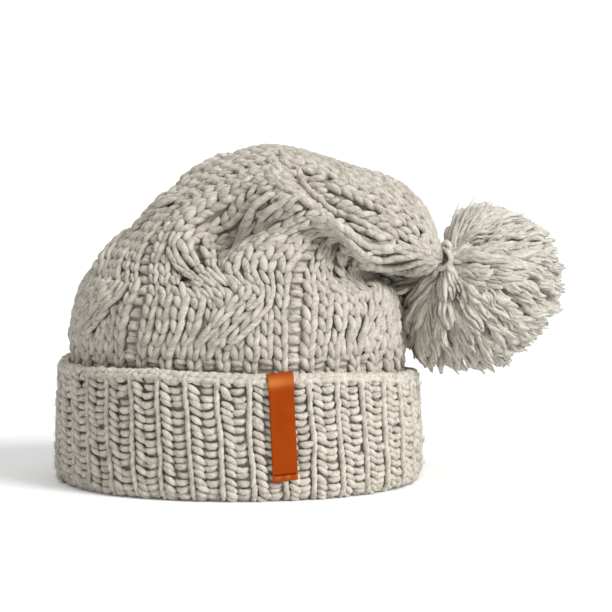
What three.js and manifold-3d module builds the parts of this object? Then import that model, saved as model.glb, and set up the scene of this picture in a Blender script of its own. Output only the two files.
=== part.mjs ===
// A slouchy knit hat that rests on its turned-up ribbed cuff: the cabled crown folds over to the
// right, where a yarn pompom is tied on at its gathered tip. A leather tab hangs over the cuff's edge.
// Millimetres, +Z up. The front of the hat faces -Y, and the tip flops towards +X.
import * as THREE from "three";
import { mergeVertices } from "three/addons/utils/BufferGeometryUtils.js";
import Module from "manifold-3d";

const wasm = await Module();
wasm.setup();

// Sizes of the head opening and the knit
const NECK_HALF_WIDTH = 94.5; // outer face of the crown where it leaves the cuff, left to right
const NECK_HALF_DEPTH = 90; // the same, front to back
const KNIT_WALL = 6; // thickness of the crown's knitted wall
const CLEARANCE = 0.35; // gap that touching pieces keep

// Sizes of the crown
const EDGE_COVER = 12; // how far the turned-up layer covers the crown's lower edge
const CROWN_RISE = 132.5; // from that edge to the highest point
const WALES = 72; // columns of stitches around the crown
const REPEATS = 6; // cable panels around the crown
const ROWS = 30; // rows of stitches from the cuff to the tip
const EASY_ROW = 6.6; // height of a row that isn't crowded
const CABLE_RELIEF = 2.6; // how far a plait stands proud of the wall
const PURL_DEPTH = 1.8; // how deep the purl column between two panels lies
const PLAIT_ROWS = 10; // rows from one crossing of a plait to the next like it
const FIRST_CROSSING_ROW = 7;
const PURL_WALE = 10; // the first purl column, counted from the right side over the back

// Sizes of the cuff
const CUFF_HEIGHT = 71;
const CUFF_INNER_LAYER = 5.5;
const CUFF_OUTER_LAYER = 5.6;
const CUFF_SLOT = 2.4; // between the crown and the turned-up layer, where the tab goes in
const CUFF_BULGE = 2.2; // how far the turned-up layer swells below its edge
const CUFF_FOOT_WIDTH = 8; // flat ring that the hat rests on
const CUFF_FOLD = 6; // height of the rounded fold at the floor
const CUFF_EDGE = 2.6; // radius of the rolled edge at the top
const RIBS = 36;
const RIB_DEPTH = 1.9;
const EDGE_DIP_RIGHT = 9; // how much lower the cuff's edge is at the right side
const EDGE_DIP_LEFT = 4;

// Sizes of the leather tab
const TAB_WIDTH = 14.5;
const TAB_THICKNESS = 1.5;
const TAB_LENGTH = 60; // the leg that hangs down the front
const TAB_TUCK = 15; // the leg that goes behind the cuff's edge
const TAB_PLACE = 25; // how far right of the middle it hangs
const TAB_LEAN = 2.2; // degrees
const TAB_END_SLANT = 6; // degrees
const TAB_ARCH = 0.62; // how high the bend over the edge arches, as a share of its half width

// Sizes of the pompom and its tie
const POMPOM_HALF_WIDTH = 46.5;
const POMPOM_HALF_HEIGHT = 49;
const POMPOM_HALF_DEPTH = 46;
const POMPOM_BELOW_TIP = 19; // how far its middle hangs below the crown's tip
const POMPOM_BACK = 8; // how far its middle lies behind the hat's middle plane
const POMPOM_CORE = 0.84; // the core's share of the pompom's size
const POMPOM_DROOP = 0.16; // how much further the locks reach at the low side next to the hat
const POMPOM_TRIM = 0.12; // how much shorter they are cut at the low side away from it
const POMPOM_LOCKS = 72;
const LOCK_HALF_WIDTH = 9.5;
const LOCK_TAPER = 0.42; // width of a lock's end as a share of its root
const LOCK_SWEEP = 0.2; // how far a lock's end sweeps away from the tie, and its root towards it
const TIE_YARN = 2.4; // radius of the yarn of the tie
const TIE_HALF_WIDTH = 7.5;

// The crown's closed sections, from its lower edge to the gathered tip. Each runs from a point on the
// outer side, which goes up the left and over the top, to one on the inner side, which goes up the
// right and under the tail. x and depth are shares of the neck's half width and half depth, z of the
// rise, and along of the rows. Forward moves the section's middle to the front.
const SECTION_COLUMNS = ["along", "outerX", "outerZ", "innerX", "innerZ", "depth", "forward"];
const SECTIONS = [
  [0.0, -0.995, 0.0, 0.995, 0.0, 0.995, 0.0],
  [0.09, -1.01, 0.14, 1.005, 0.14, 1.0, 0.0],
  [0.19, -0.995, 0.28, 1.0, 0.26, 1.015, 0.0],
  [0.28, -0.945, 0.4, 0.985, 0.35, 0.985, 0.0],
  [0.36, -0.83, 0.51, 0.95, 0.4, 0.94, 0.0],
  [0.43, -0.675, 0.618, 0.885, 0.43, 0.895, 0.0],
  [0.49, -0.5, 0.742, 0.83, 0.448, 0.84, 0.01],
  [0.55, -0.295, 0.86, 0.82, 0.467, 0.79, 0.03],
  [0.61, -0.055, 0.955, 0.875, 0.467, 0.765, 0.05],
  [0.67, 0.19, 1.0, 0.945, 0.457, 0.72, 0.08],
  [0.735, 0.45, 0.968, 1.01, 0.45, 0.65, 0.11],
  [0.8, 0.7, 0.915, 1.06, 0.448, 0.55, 0.15],
  [0.86, 0.93, 0.865, 1.1, 0.453, 0.44, 0.19],
  [0.915, 1.095, 0.775, 1.13, 0.464, 0.32, 0.23],
  [0.96, 1.175, 0.67, 1.155, 0.48, 0.2, 0.26],
  [1.0, 1.225, 0.57, 1.19, 0.5, 0.085, 0.28],
];

// Dents and folds pressed into the crown. Each runs from one place to another, with the wale counted
// from the right side over the back, and along as a share of the rows. Reach is in stitches, and
// depth is a share of the wall: below zero it goes in.
const FOLD_COLUMNS = ["fromWale", "fromAlong", "toWale", "toAlong", "reach", "depth"];
const FOLDS = [
  [46.5, 0.545, 49.3, 0.495, 2.0, -2.1], // the hollow at the front of the top
  [49.6, 0.59, 50.9, 0.63, 1.4, 1.0], // the lip beside that hollow
  [50.8, 0.55, 51.3, 0.575, 1.0, -1.0], // the pocket below that lip
  [47.5, 0.4, 48.4, 0.425, 1.0, -1.0], // the hole beside a crossing at the front left
  [55.0, 0.61, 62.0, 0.585, 1.4, -1.0], // the groove below the tail at the front
  [55.0, 0.68, 63.5, 0.675, 1.6, 0.9], // the tail's lip over that groove
  [10.0, 0.585, 17.5, 0.61, 1.4, -0.9], // the same groove at the back
  [8.5, 0.675, 16.5, 0.68, 1.6, 0.8], // and the lip there
  [42.0, 0.7, 52.5, 0.71, 1.0, -0.7], // the furrow between two panels gathered in the tail
  [53.5, 0.715, 55.5, 0.82, 0.9, -0.7], // where that furrow runs down to the tie
  [24.0, 0.7, 17.0, 0.82, 1.0, -0.7], // a furrow at the back of the tail
  [29.0, 0.45, 27.0, 0.56, 2.1, -1.0], // a shallow dent at the back of the top
];

const CROWN_FOOT = CUFF_HEIGHT - EDGE_COVER;
const INNER_LAYER_TOP = CROWN_FOOT - CLEARANCE;

const material = (name, color, roughness) =>
  new THREE.MeshStandardMaterial({ name, color, roughness, metalness: 0 });
const oatmealYarn = material("oatmeal_yarn", 0xcdc6b9, 0.95);
const ribbedYarn = material("ribbed_yarn", 0xc6bfb1, 0.95);
const pompomYarn = material("pompom_yarn", 0xd2ccc0, 0.95);
const tanLeather = material("tan_leather", 0xaa470c, 0.42);

// A table's rows as objects with named columns.
const named = (columns, rows) =>
  rows.map((row) => Object.fromEntries(columns.map((name, i) => [name, row[i]])));

const sections = named(SECTION_COLUMNS, SECTIONS);
const folds = named(FOLD_COLUMNS, FOLDS);

// A smooth curve through one column of the sections.
function sectionValue(column, along) {
  const last = sections.length - 1;
  let i = 0;
  while (i < last - 1 && along > sections[i + 1].along) i += 1;
  const slopeAt = (k) => {
    const before = sections[Math.max(k - 1, 0)];
    const after = sections[Math.min(k + 1, last)];
    return (after[column] - before[column]) / (after.along - before.along);
  };
  const span = sections[i + 1].along - sections[i].along;
  const t = (along - sections[i].along) / span;
  const t2 = t * t;
  const t3 = t2 * t;
  return (
    (2 * t3 - 3 * t2 + 1) * sections[i][column] +
    (t3 - 2 * t2 + t) * span * slopeAt(i) +
    (3 * t2 - 2 * t3) * sections[i + 1][column] +
    (t3 - t2) * span * slopeAt(i + 1)
  );
}

// The crown's smooth form, without dents: wale runs around, along runs from edge to tip.
function crownForm(wale, along) {
  const angle = (wale / WALES) * 2 * Math.PI;
  const outer = new THREE.Vector3(
    sectionValue("outerX", along) * NECK_HALF_WIDTH,
    0,
    CROWN_FOOT + sectionValue("outerZ", along) * CROWN_RISE,
  );
  const inner = new THREE.Vector3(
    sectionValue("innerX", along) * NECK_HALF_WIDTH,
    0,
    CROWN_FOOT + sectionValue("innerZ", along) * CROWN_RISE,
  );
  const middle = outer.clone().add(inner).multiplyScalar(0.5);
  const reach = inner.sub(outer).multiplyScalar(0.5 * Math.cos(angle));
  const depth = sectionValue("depth", along) * NECK_HALF_DEPTH;
  const forward = sectionValue("forward", along) * NECK_HALF_DEPTH;
  middle.y = depth * Math.sin(angle) - forward;
  return middle.add(reach);
}

function outwardNormal(surface, wale, along) {
  const stepWale = 0.25;
  const stepAlong = 0.004;
  const low = Math.max(along - stepAlong, 0);
  const high = Math.min(along + stepAlong, 1);
  const around = surface(wale + stepWale, along).sub(surface(wale - stepWale, along));
  const up = surface(wale, high).sub(surface(wale, low));
  return around.cross(up).normalize();
}

// How deep the folds press at one place, in millimetres.
function foldDepth(wale, along) {
  let sum = 0;
  for (const fold of folds) {
    const run = new THREE.Vector2(fold.toWale - fold.fromWale, (fold.toAlong - fold.fromAlong) * ROWS);
    const start = new THREE.Vector2(wale - fold.fromWale, (along - fold.fromAlong) * ROWS);
    if (start.x > WALES / 2) start.x -= WALES;
    if (start.x < -WALES / 2) start.x += WALES;
    const share = THREE.MathUtils.clamp(start.dot(run) / run.lengthSq(), 0, 1);
    const distance = start.sub(run.multiplyScalar(share)).length() / fold.reach;
    sum += fold.depth * KNIT_WALL * Math.exp(-distance * distance);
  }
  return sum;
}

// The relief of the plaits: their strands stand proud, and the purl columns lie deep.
function plaitRelief(wale, along) {
  const perPanel = WALES / REPEATS;
  const place = (((wale - PURL_WALE) % perPanel) + perPanel) % perPanel / perPanel;
  const phase = ((along * ROWS - FIRST_CROSSING_ROW) / PLAIT_ROWS) * 2 * Math.PI;
  const swell = Math.sin(Math.PI * place) ** 0.6;
  const sway = 0.5 + 0.5 * Math.cos(phase - place * 2 * Math.PI);
  const strand = CABLE_RELIEF * (swell * (0.45 + 0.55 * sway) - 0.25);
  const purl = PURL_DEPTH * Math.exp(-((Math.min(place, 1 - place) * perPanel) ** 2));
  const fadeIn = THREE.MathUtils.smoothstep(along, 0.1, 0.2);
  const fadeOut = 1 - THREE.MathUtils.smoothstep(along, 0.8, 0.97);
  return fadeIn * fadeOut * (strand - purl);
}

// Where rows crowd together under the tail, folds and relief have less room: 1 is plenty.
function roomForRelief(wale, along) {
  const step = 0.01;
  const low = Math.max(along - step, 0);
  const high = Math.min(along + step, 1);
  const rowLength = crownForm(wale, high).distanceTo(crownForm(wale, low)) / ((high - low) * ROWS);
  return Math.min(rowLength / EASY_ROW, 1) ** 2;
}

// The face of the wall that lies inwards of the smooth form by the given depth.
function crownWall(inset, relief) {
  return (wale, along) => {
    const room = roomForRelief(wale, along);
    const out = room * (foldDepth(wale, along) + relief(wale, along)) - inset;
    return crownForm(wale, along).addScaledVector(outwardNormal(crownForm, wale, along), out);
  };
}

// A closed mesh from rings of equal length, each joined to the next; the two ends are closed by a
// point each, or joined to each other where the rings make a loop.
function meshOfRings(rings, ends) {
  const around = rings[0].length;
  const points = rings.flat();
  const faces = [];
  const joinRings = (a, b) => {
    for (let i = 0; i < around; i += 1) {
      const j = (i + 1) % around;
      faces.push(a * around + i, a * around + j, b * around + j);
      faces.push(a * around + i, b * around + j, b * around + i);
    }
  };
  for (let k = 0; k + 1 < rings.length; k += 1) joinRings(k, k + 1);
  if (ends === "loop") {
    joinRings(rings.length - 1, 0);
  } else {
    const closeEnd = (ring, flip) => {
      const middle = rings[ring].reduce((sum, p) => sum.add(p), new THREE.Vector3());
      points.push(middle.multiplyScalar(1 / around));
      for (let i = 0; i < around; i += 1) {
        const a = ring * around + i;
        const b = ring * around + ((i + 1) % around);
        faces.push(points.length - 1, flip ? b : a, flip ? a : b);
      }
    };
    closeEnd(0, true);
    closeEnd(rings.length - 1, false);
  }
  const geometry = new THREE.BufferGeometry();
  geometry.setAttribute(
    "position",
    new THREE.Float32BufferAttribute(points.flatMap((p) => p.toArray()), 3),
  );
  geometry.setIndex(faces);
  return geometry;
}

function solidOf(geometry) {
  const bare = geometry.clone();
  bare.deleteAttribute("normal");
  bare.deleteAttribute("uv");
  const merged = mergeVertices(bare, 1e-3);
  return new wasm.Manifold(
    new wasm.Mesh({
      numProp: 3,
      vertProperties: merged.attributes.position.array,
      triVerts: new Uint32Array(merged.index.array),
    }),
  );
}

function geometryOf(solid) {
  const mesh = solid.getMesh();
  const positions = new Float32Array(mesh.numVert * 3);
  for (let i = 0; i < mesh.numVert; i += 1) {
    const from = i * mesh.numProp;
    positions.set(mesh.vertProperties.subarray(from, from + 3), i * 3);
  }
  const geometry = new THREE.BufferGeometry();
  geometry.setAttribute("position", new THREE.BufferAttribute(positions, 3));
  geometry.setIndex(new THREE.BufferAttribute(mesh.triVerts, 1));
  return geometry;
}

function piece(name, geometry, itsMaterial) {
  geometry.computeVertexNormals();
  const mesh = new THREE.Mesh(geometry, itsMaterial);
  mesh.name = name;
  return mesh;
}

const CROWN_RINGS = 23;
// Where the inner wall has a ring, from the end of the hollow down. Beyond it the tail is gathered solid.
const HOLLOW_RINGS = [0.87, 0.76, 0.69, 0.64, 0.6, 0.55, 0.49, 0.4, 0.24, 0];

const crownRing = (wall, along) => Array.from({ length: WALES }, (_, wale) => wall(wale, along));

function outerRings(inset) {
  const wall = crownWall(inset, plaitRelief);
  return Array.from({ length: CROWN_RINGS + 1 }, (_, k) => crownRing(wall, k / CROWN_RINGS));
}

// The crown: inner rings from the end of the hollow down to the edge, then outer rings to the tip.
function makeCrown() {
  const innerWall = crownWall(KNIT_WALL, () => 0);
  const innerRings = HOLLOW_RINGS.map((along) => crownRing(innerWall, along));
  return piece("crown", meshOfRings([...innerRings, ...outerRings(0)], "points"), oatmealYarn);
}

// How far the cuff's edge dips below its full height at an angle around the opening.
function edgeDip(angle) {
  const right = Math.max(Math.cos(angle), 0) ** 3;
  const left = Math.max(-Math.cos(angle), 0) ** 2;
  return EDGE_DIP_RIGHT * right + EDGE_DIP_LEFT * left;
}

// The turned-up layer's outer face at a height, measured out from the crown's face.
function cuffOut(up) {
  const share = up / CUFF_HEIGHT;
  return CUFF_SLOT + CUFF_OUTER_LAYER + CUFF_BULGE * Math.sin(Math.PI * Math.min(share * 0.55 + 0.45, 1));
}

function cuffPoint(angle, out, up) {
  return new THREE.Vector3(
    (NECK_HALF_WIDTH + out) * Math.cos(angle),
    (NECK_HALF_DEPTH + out) * Math.sin(angle),
    up,
  );
}

// The cuff: one folded profile carried round the opening, with ribs on its outer face. In the
// profile, out is measured from the crown's outer face and up from the floor.
function makeCuff() {
  const STEPS_PER_RIB = 3;
  const face = (share) => cuffOut(CUFF_HEIGHT * share);
  const footInside = -CUFF_INNER_LAYER * 0.4;
  const foldTop = CUFF_FOLD + CUFF_INNER_LAYER;
  const edge = face(1);
  const profile = named(["out", "up", "ribbed"], [
    [footInside, 0, 0],
    [footInside + CUFF_FOOT_WIDTH, 0, 0],
    [face(0) - CUFF_FOLD * 0.3, CUFF_FOLD * 0.8, 1],
    [face(0.2), CUFF_HEIGHT * 0.2, 1],
    [face(0.5), CUFF_HEIGHT * 0.5, 1],
    [face(0.87), CUFF_HEIGHT * 0.87, 1],
    [edge, CUFF_HEIGHT - CUFF_EDGE * 1.6, 0.3],
    [edge - CUFF_EDGE * 0.3, CUFF_HEIGHT - CUFF_EDGE * 0.5, 0.1],
    [CUFF_SLOT + CUFF_EDGE * 0.9, CUFF_HEIGHT, 0],
    [CUFF_SLOT, CUFF_HEIGHT - CUFF_EDGE, 0],
    [CUFF_SLOT, foldTop, 0],
    [-CLEARANCE, foldTop, 0],
    [-CLEARANCE, INNER_LAYER_TOP, 0],
    [-CUFF_INNER_LAYER, INNER_LAYER_TOP, 0],
    [-CUFF_INNER_LAYER, CUFF_FOLD, 0],
  ]);
  const steps = RIBS * STEPS_PER_RIB;
  const rings = profile.map(({ out, up, ribbed }) =>
    Array.from({ length: steps }, (_, i) => {
      const angle = (i / steps) * 2 * Math.PI;
      const valley = i % STEPS_PER_RIB === 0 ? RIB_DEPTH * ribbed : 0;
      const dip = up > INNER_LAYER_TOP ? edgeDip(angle) * (up / CUFF_HEIGHT) ** 2 : 0;
      return cuffPoint(angle, out - valley, up - dip);
    }),
  );
  return piece("ribbed_cuff", meshOfRings(rings, "loop"), ribbedYarn);
}

// The tab: a strip bent over the cuff's edge, with one leg down the front and one tucked behind.
function makeTab() {
  const angle = -Math.acos(TAB_PLACE / (NECK_HALF_WIDTH + cuffOut(CUFF_HEIGHT)));
  const middle = cuffPoint(angle, 0, 0);
  const outwards = new THREE.Vector3(
    Math.cos(angle) / NECK_HALF_WIDTH,
    Math.sin(angle) / NECK_HALF_DEPTH,
    0,
  ).normalize();
  const sideways = new THREE.Vector3(-outwards.y, outwards.x, 0);
  const FRONT_STEPS = 5;
  const BEND_STEPS = 6;
  const frontOut = (up) => cuffOut(Math.min(up, CUFF_HEIGHT)) + CLEARANCE + TAB_THICKNESS / 2;
  const slotCurve = TAB_WIDTH ** 2 / (8 * NECK_HALF_DEPTH); // the slot curves; the tab is flat across
  const backOut = CUFF_SLOT - slotCurve - CLEARANCE - TAB_THICKNESS / 2;
  const edge = CUFF_HEIGHT - edgeDip(angle);
  const bendRadius = (frontOut(edge) - backOut) / 2;
  const lean = Math.tan(THREE.MathUtils.degToRad(TAB_LEAN));
  const lowSide = (TAB_WIDTH / 2) * lean; // how much lower its left side lies on the edge
  const bendTop = edge + lowSide + CLEARANCE + TAB_THICKNESS / 2;
  const bendFoot = bendTop - bendRadius * TAB_ARCH;
  const low = bendTop - TAB_LENGTH;
  const path = [];
  for (let i = 0; i < FRONT_STEPS; i += 1) {
    const up = THREE.MathUtils.lerp(low, bendFoot, i / FRONT_STEPS);
    path.push(new THREE.Vector2(frontOut(up), up));
  }
  for (let i = 0; i <= BEND_STEPS; i += 1) {
    const turn = (i / BEND_STEPS) * Math.PI;
    const across = backOut + bendRadius * (1 + Math.cos(turn));
    path.push(new THREE.Vector2(across, bendFoot + bendRadius * TAB_ARCH * Math.sin(turn) ** 0.8));
  }
  path.push(new THREE.Vector2(backOut, bendFoot - TAB_TUCK));
  const slant = Math.tan(THREE.MathUtils.degToRad(TAB_END_SLANT));
  const rings = path.map((at, i) => {
    const before = path[Math.max(i - 1, 0)];
    const after = path[Math.min(i + 1, path.length - 1)];
    const along = after.clone().sub(before).normalize();
    const across = new THREE.Vector2(along.y, -along.x).multiplyScalar(TAB_THICKNESS / 2);
    return [[-1, -1], [-1, 1], [1, 1], [1, -1]].map(([side, face]) => {
      const shift = (side * TAB_WIDTH) / 2 + (bendTop - at.y) * lean;
      const up = at.y + across.y * face + side * (TAB_WIDTH / 2) * (i === 0 ? slant : lean);
      return middle
        .clone()
        .addScaledVector(outwards, at.x + across.x * face)
        .addScaledVector(sideways, shift)
        .setZ(up);
    });
  });
  return piece("leather_tab", meshOfRings(rings, "points"), tanLeather);
}

// The middle of the crown's gathered tip, and the pompom beside the crown's side.
const tip = crownForm(0, 1).add(crownForm(WALES / 2, 1)).multiplyScalar(0.5);
const pompomCentre = new THREE.Vector3(
  NECK_HALF_WIDTH + POMPOM_HALF_WIDTH + CLEARANCE,
  POMPOM_BACK,
  tip.z - POMPOM_BELOW_TIP,
);

// One lock: a tapered cone from inside the core to the pompom's outside.
function makeLock(start, end) {
  const LOCK_SIDES = 5;
  const length = end.distanceTo(start);
  const lock = new THREE.CylinderGeometry(
    LOCK_HALF_WIDTH * LOCK_TAPER,
    LOCK_HALF_WIDTH,
    length,
    LOCK_SIDES,
    1,
  );
  const way = end.clone().sub(start).normalize();
  lock.translate(0, length / 2, 0);
  lock.applyQuaternion(new THREE.Quaternion().setFromUnitVectors(new THREE.Vector3(0, 1, 0), way));
  lock.translate(start.x, start.y, start.z);
  return solidOf(lock);
}

// The pompom: locks lie round a core like shingles, and lean away from the tie.
function makePompom() {
  const size = new THREE.Vector3(POMPOM_HALF_WIDTH, POMPOM_HALF_DEPTH, POMPOM_HALF_HEIGHT);
  const core = size.clone().multiplyScalar(POMPOM_CORE);
  const CORE_DETAIL = 2;
  let solid = solidOf(new THREE.IcosahedronGeometry(1, CORE_DETAIL).scale(core.x, core.y, core.z));
  const towardsTie = tip.clone().sub(pompomCentre).normalize();
  const lowInside = new THREE.Vector3(-1, 0, -1).normalize();
  const lowOutside = new THREE.Vector3(1, 0, -1).normalize();
  const LOCK_ROOT = 0.75; // how deep in the core a lock starts
  const TIE_CLEARING = 0.9; // cosine of the angle round the tie that has no locks
  const golden = Math.PI * (3 - Math.sqrt(5));
  for (let i = 0; i < POMPOM_LOCKS; i += 1) {
    const rise = 1 - (2 * (i + 0.5)) / POMPOM_LOCKS;
    const flat = Math.sqrt(1 - rise * rise);
    const way = new THREE.Vector3(flat * Math.cos(i * golden), flat * Math.sin(i * golden), rise);
    if (way.dot(towardsTie) > TIE_CLEARING) continue;
    const sweep = towardsTie.clone().addScaledVector(way, -way.dot(towardsTie));
    sweep.setLength(LOCK_SWEEP);
    const droop = POMPOM_DROOP * Math.max(way.dot(lowInside), 0) ** 2;
    const trim = POMPOM_TRIM * Math.max(way.dot(lowOutside), 0) ** 2;
    const end = way.clone().sub(sweep).normalize().multiply(size);
    const start = way.clone().add(sweep).normalize().multiply(core);
    solid = solid.add(
      makeLock(start.multiplyScalar(LOCK_ROOT), end.multiplyScalar(1 + droop - trim)),
    );
  }
  // Where it rests against the crown and the tie, it is pressed to their shape.
  const placed = solid.translate([pompomCentre.x, pompomCentre.y, pompomCentre.z]);
  const crownRoom = solidOf(meshOfRings(outerRings(-CLEARANCE), "points"));
  const tieRoom = solidOf(tieRing(TIE_YARN + CLEARANCE));
  return piece("pompom", geometryOf(placed.subtract(crownRoom).subtract(tieRoom)), pompomYarn);
}

// The tie: yarn wound round the place where the gathered tip meets the pompom.
function tieRing(yarnRadius) {
  const YARN_SIDES = 6;
  const RING_STEPS = 16;
  const ring = new THREE.TorusGeometry(TIE_HALF_WIDTH, yarnRadius, YARN_SIDES, RING_STEPS);
  const way = pompomCentre.clone().sub(tip).normalize();
  ring.applyQuaternion(new THREE.Quaternion().setFromUnitVectors(new THREE.Vector3(0, 0, 1), way));
  const place = tip.clone().addScaledVector(way, TIE_YARN + CLEARANCE);
  ring.translate(place.x, place.y, place.z);
  return ring;
}

function makeTie() {
  const crownRoom = solidOf(meshOfRings(outerRings(-CLEARANCE), "points"));
  return piece("pompom_tie", geometryOf(solidOf(tieRing(TIE_YARN)).subtract(crownRoom)), pompomYarn);
}

const hat = new THREE.Group();
hat.add(makeCrown(), makeCuff(), makeTab(), makePompom(), makeTie());

// The frame's origin is under the middle of the whole hat, pompom included, on the floor.
const bounds = new THREE.Box3().setFromObject(hat);
const centre = bounds.getCenter(new THREE.Vector3());
hat.position.set(-centre.x, -centre.y, -bounds.min.z);

const group = new THREE.Group();
group.name = "knit_hat";
group.add(hat);

export default group;
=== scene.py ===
"""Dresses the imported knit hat: the crown and cuff stitch by stitch in thick yarn, the leather tab
with its sewn end, and the pompom in tufts of cut yarn with the tie that holds it."""

import math

import bmesh
import bpy
import numpy as np
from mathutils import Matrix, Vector


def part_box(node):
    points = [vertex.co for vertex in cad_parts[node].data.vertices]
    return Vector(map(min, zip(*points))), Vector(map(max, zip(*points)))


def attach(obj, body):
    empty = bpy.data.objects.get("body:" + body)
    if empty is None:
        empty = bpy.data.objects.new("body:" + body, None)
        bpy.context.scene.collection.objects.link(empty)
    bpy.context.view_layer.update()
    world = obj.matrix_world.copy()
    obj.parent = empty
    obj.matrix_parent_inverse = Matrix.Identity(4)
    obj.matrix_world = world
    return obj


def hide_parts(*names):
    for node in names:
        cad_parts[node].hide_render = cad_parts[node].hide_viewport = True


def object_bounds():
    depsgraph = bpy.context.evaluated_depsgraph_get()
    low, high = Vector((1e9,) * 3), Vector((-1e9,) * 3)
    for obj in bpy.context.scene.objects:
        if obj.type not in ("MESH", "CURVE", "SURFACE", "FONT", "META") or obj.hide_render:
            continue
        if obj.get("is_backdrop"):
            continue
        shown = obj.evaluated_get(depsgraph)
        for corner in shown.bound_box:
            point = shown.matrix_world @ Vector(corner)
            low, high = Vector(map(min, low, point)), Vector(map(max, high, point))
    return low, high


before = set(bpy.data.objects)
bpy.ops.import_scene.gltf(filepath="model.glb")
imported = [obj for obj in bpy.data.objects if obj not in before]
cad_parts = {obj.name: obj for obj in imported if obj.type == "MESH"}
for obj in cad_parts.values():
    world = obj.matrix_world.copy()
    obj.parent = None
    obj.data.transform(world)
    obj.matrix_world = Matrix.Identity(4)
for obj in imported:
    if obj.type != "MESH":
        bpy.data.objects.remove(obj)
cad_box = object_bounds()
random = np.random.default_rng(7)

# Sizes, in millimetres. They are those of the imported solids. The hat's own frame has its origin on
# the floor, in the middle of the cuff; the part's frame has it under the middle of the whole hat.
MM = 0.001
cuff_low, cuff_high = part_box("ribbed_cuff")
HAT_PLACE = (cuff_low + cuff_high) / 2 * Vector((1, 1, 0))

NECK_HALF_WIDTH = 94.5
NECK_HALF_DEPTH = 90.0
KNIT_WALL = 6.0
CROWN_FOOT = 59.0
CROWN_RISE = 132.5
WALES = 72
FOLD_ROWS = 30
EASY_ROW = 6.6
CUFF_HEIGHT = 71.0
CUFF_INNER_LAYER = 5.5
CUFF_OUTER_LAYER = 5.6
CUFF_SLOT = 2.4
CUFF_BULGE = 2.2
CUFF_FOLD = 6.0
RIBS = 36
EDGE_DIP_RIGHT = 9.0
EDGE_DIP_LEFT = 4.0
TAB_WIDTH = 14.5
TAB_THICKNESS = 1.5
TAB_LENGTH = 60.0
TAB_TUCK = 15.0
TAB_PLACE = 25.0
TAB_LEAN = 2.2
TAB_END_SLANT = 6.0
POMPOM_SIZE = np.array([46.5, 46.0, 49.0])

# The knit's gauge
WALE = 8.1  # width of one column of stitches
ROW = 7.3  # height of one row
PANEL = 12  # wales of one cable panel: a purl wale, a knit wale, three strands of three, a knit wale
PURL_WALE = 10  # the first purl wale, counted from the right side over the back
CROSSING_ROW = 6.2  # the first crossing's middle
CROSSINGS_APART = 5.0  # rows
CROSSINGS = [4, 4, 4, 2, 2, 4]  # of each panel; the front one's third is the lip in the fold
CROSSING_REACH = 2.35  # rows that a crossing takes on each side of its middle
RIB_ROWS = 3  # rows of ribbing that the crown still has above the cuff's edge
CUFF_ROW = 4.25  # the cuff's rows are stretched wide, and so lower
CUFF_FRONT = 84  # millimetres down the cuff's face that its front piece covers
RIB_WIDTH = 17.6
RIB_LEAN = 0.06  # how far a rib moves aside for each millimetre down

# columns: along, outer x, outer z, inner x, inner z, depth, forward
SECTIONS = np.array([
    [0.0, -0.995, 0.0, 0.995, 0.0, 0.995, 0.0],
    [0.09, -1.01, 0.14, 1.005, 0.14, 1.0, 0.0],
    [0.19, -0.995, 0.28, 1.0, 0.26, 1.015, 0.0],
    [0.28, -0.945, 0.4, 0.985, 0.35, 0.985, 0.0],
    [0.36, -0.83, 0.51, 0.95, 0.4, 0.94, 0.0],
    [0.43, -0.675, 0.618, 0.885, 0.43, 0.895, 0.0],
    [0.49, -0.5, 0.742, 0.83, 0.448, 0.84, 0.01],
    [0.55, -0.295, 0.86, 0.82, 0.467, 0.79, 0.03],
    [0.61, -0.055, 0.955, 0.875, 0.467, 0.765, 0.05],
    [0.67, 0.19, 1.0, 0.945, 0.457, 0.72, 0.08],
    [0.735, 0.45, 0.968, 1.01, 0.45, 0.65, 0.11],
    [0.8, 0.7, 0.915, 1.06, 0.448, 0.55, 0.15],
    [0.86, 0.93, 0.865, 1.1, 0.453, 0.44, 0.19],
    [0.915, 1.095, 0.775, 1.13, 0.464, 0.32, 0.23],
    [0.96, 1.175, 0.67, 1.155, 0.48, 0.2, 0.26],
    [1.0, 1.225, 0.57, 1.19, 0.5, 0.085, 0.28],
])

# columns: from wale, from along, to wale, to along, reach in stitches, depth as a share of the wall
FOLDS = np.array([
    [46.5, 0.545, 49.3, 0.495, 2.0, -2.1],
    [49.6, 0.59, 50.9, 0.63, 1.4, 1.0],
    [50.8, 0.55, 51.3, 0.575, 1.0, -1.0],
    [47.5, 0.4, 48.4, 0.425, 1.0, -1.0],
    [55.0, 0.61, 62.0, 0.585, 1.4, -1.0],
    [55.0, 0.68, 63.5, 0.675, 1.6, 0.9],
    [10.0, 0.585, 17.5, 0.61, 1.4, -0.9],
    [8.5, 0.675, 16.5, 0.68, 1.6, 0.8],
    [42.0, 0.7, 52.5, 0.71, 1.0, -0.7],
    [53.5, 0.715, 55.5, 0.82, 0.9, -0.7],
    [24.0, 0.7, 17.0, 0.82, 1.0, -0.7],
    [29.0, 0.45, 27.0, 0.56, 2.1, -1.0],
])

# The same columns: where the stitches sink deeper into those folds than the solid does
SOFT_FOLDS = np.array([
    [46.8, 0.54, 48.6, 0.5, 1.4, -1.3],
    [48.6, 0.57, 50.6, 0.63, 0.9, 0.6],
    [55.0, 0.61, 62.0, 0.585, 1.0, -0.7],
    [44.0, 0.7, 52.5, 0.71, 0.9, -0.8],
    [48.5, 0.78, 53.0, 0.8, 0.8, -0.6],
])


def smoothstep(low, high, x):
    t = np.clip((x - low) / (high - low), 0, 1)
    return t * t * (3 - 2 * t)


def unit(v):
    return v / np.maximum(np.linalg.norm(v, axis=-1, keepdims=True), 1e-9)


def wrapped(x, whole):
    """A way round something of that whole length, counted from minus a half of it to a half."""
    return (x + whole / 2) % whole - whole / 2


def shake(count, size):
    """A random amount for each of count lengths of yarn."""
    return size * random.normal(0, 1, (count, 1))


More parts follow.
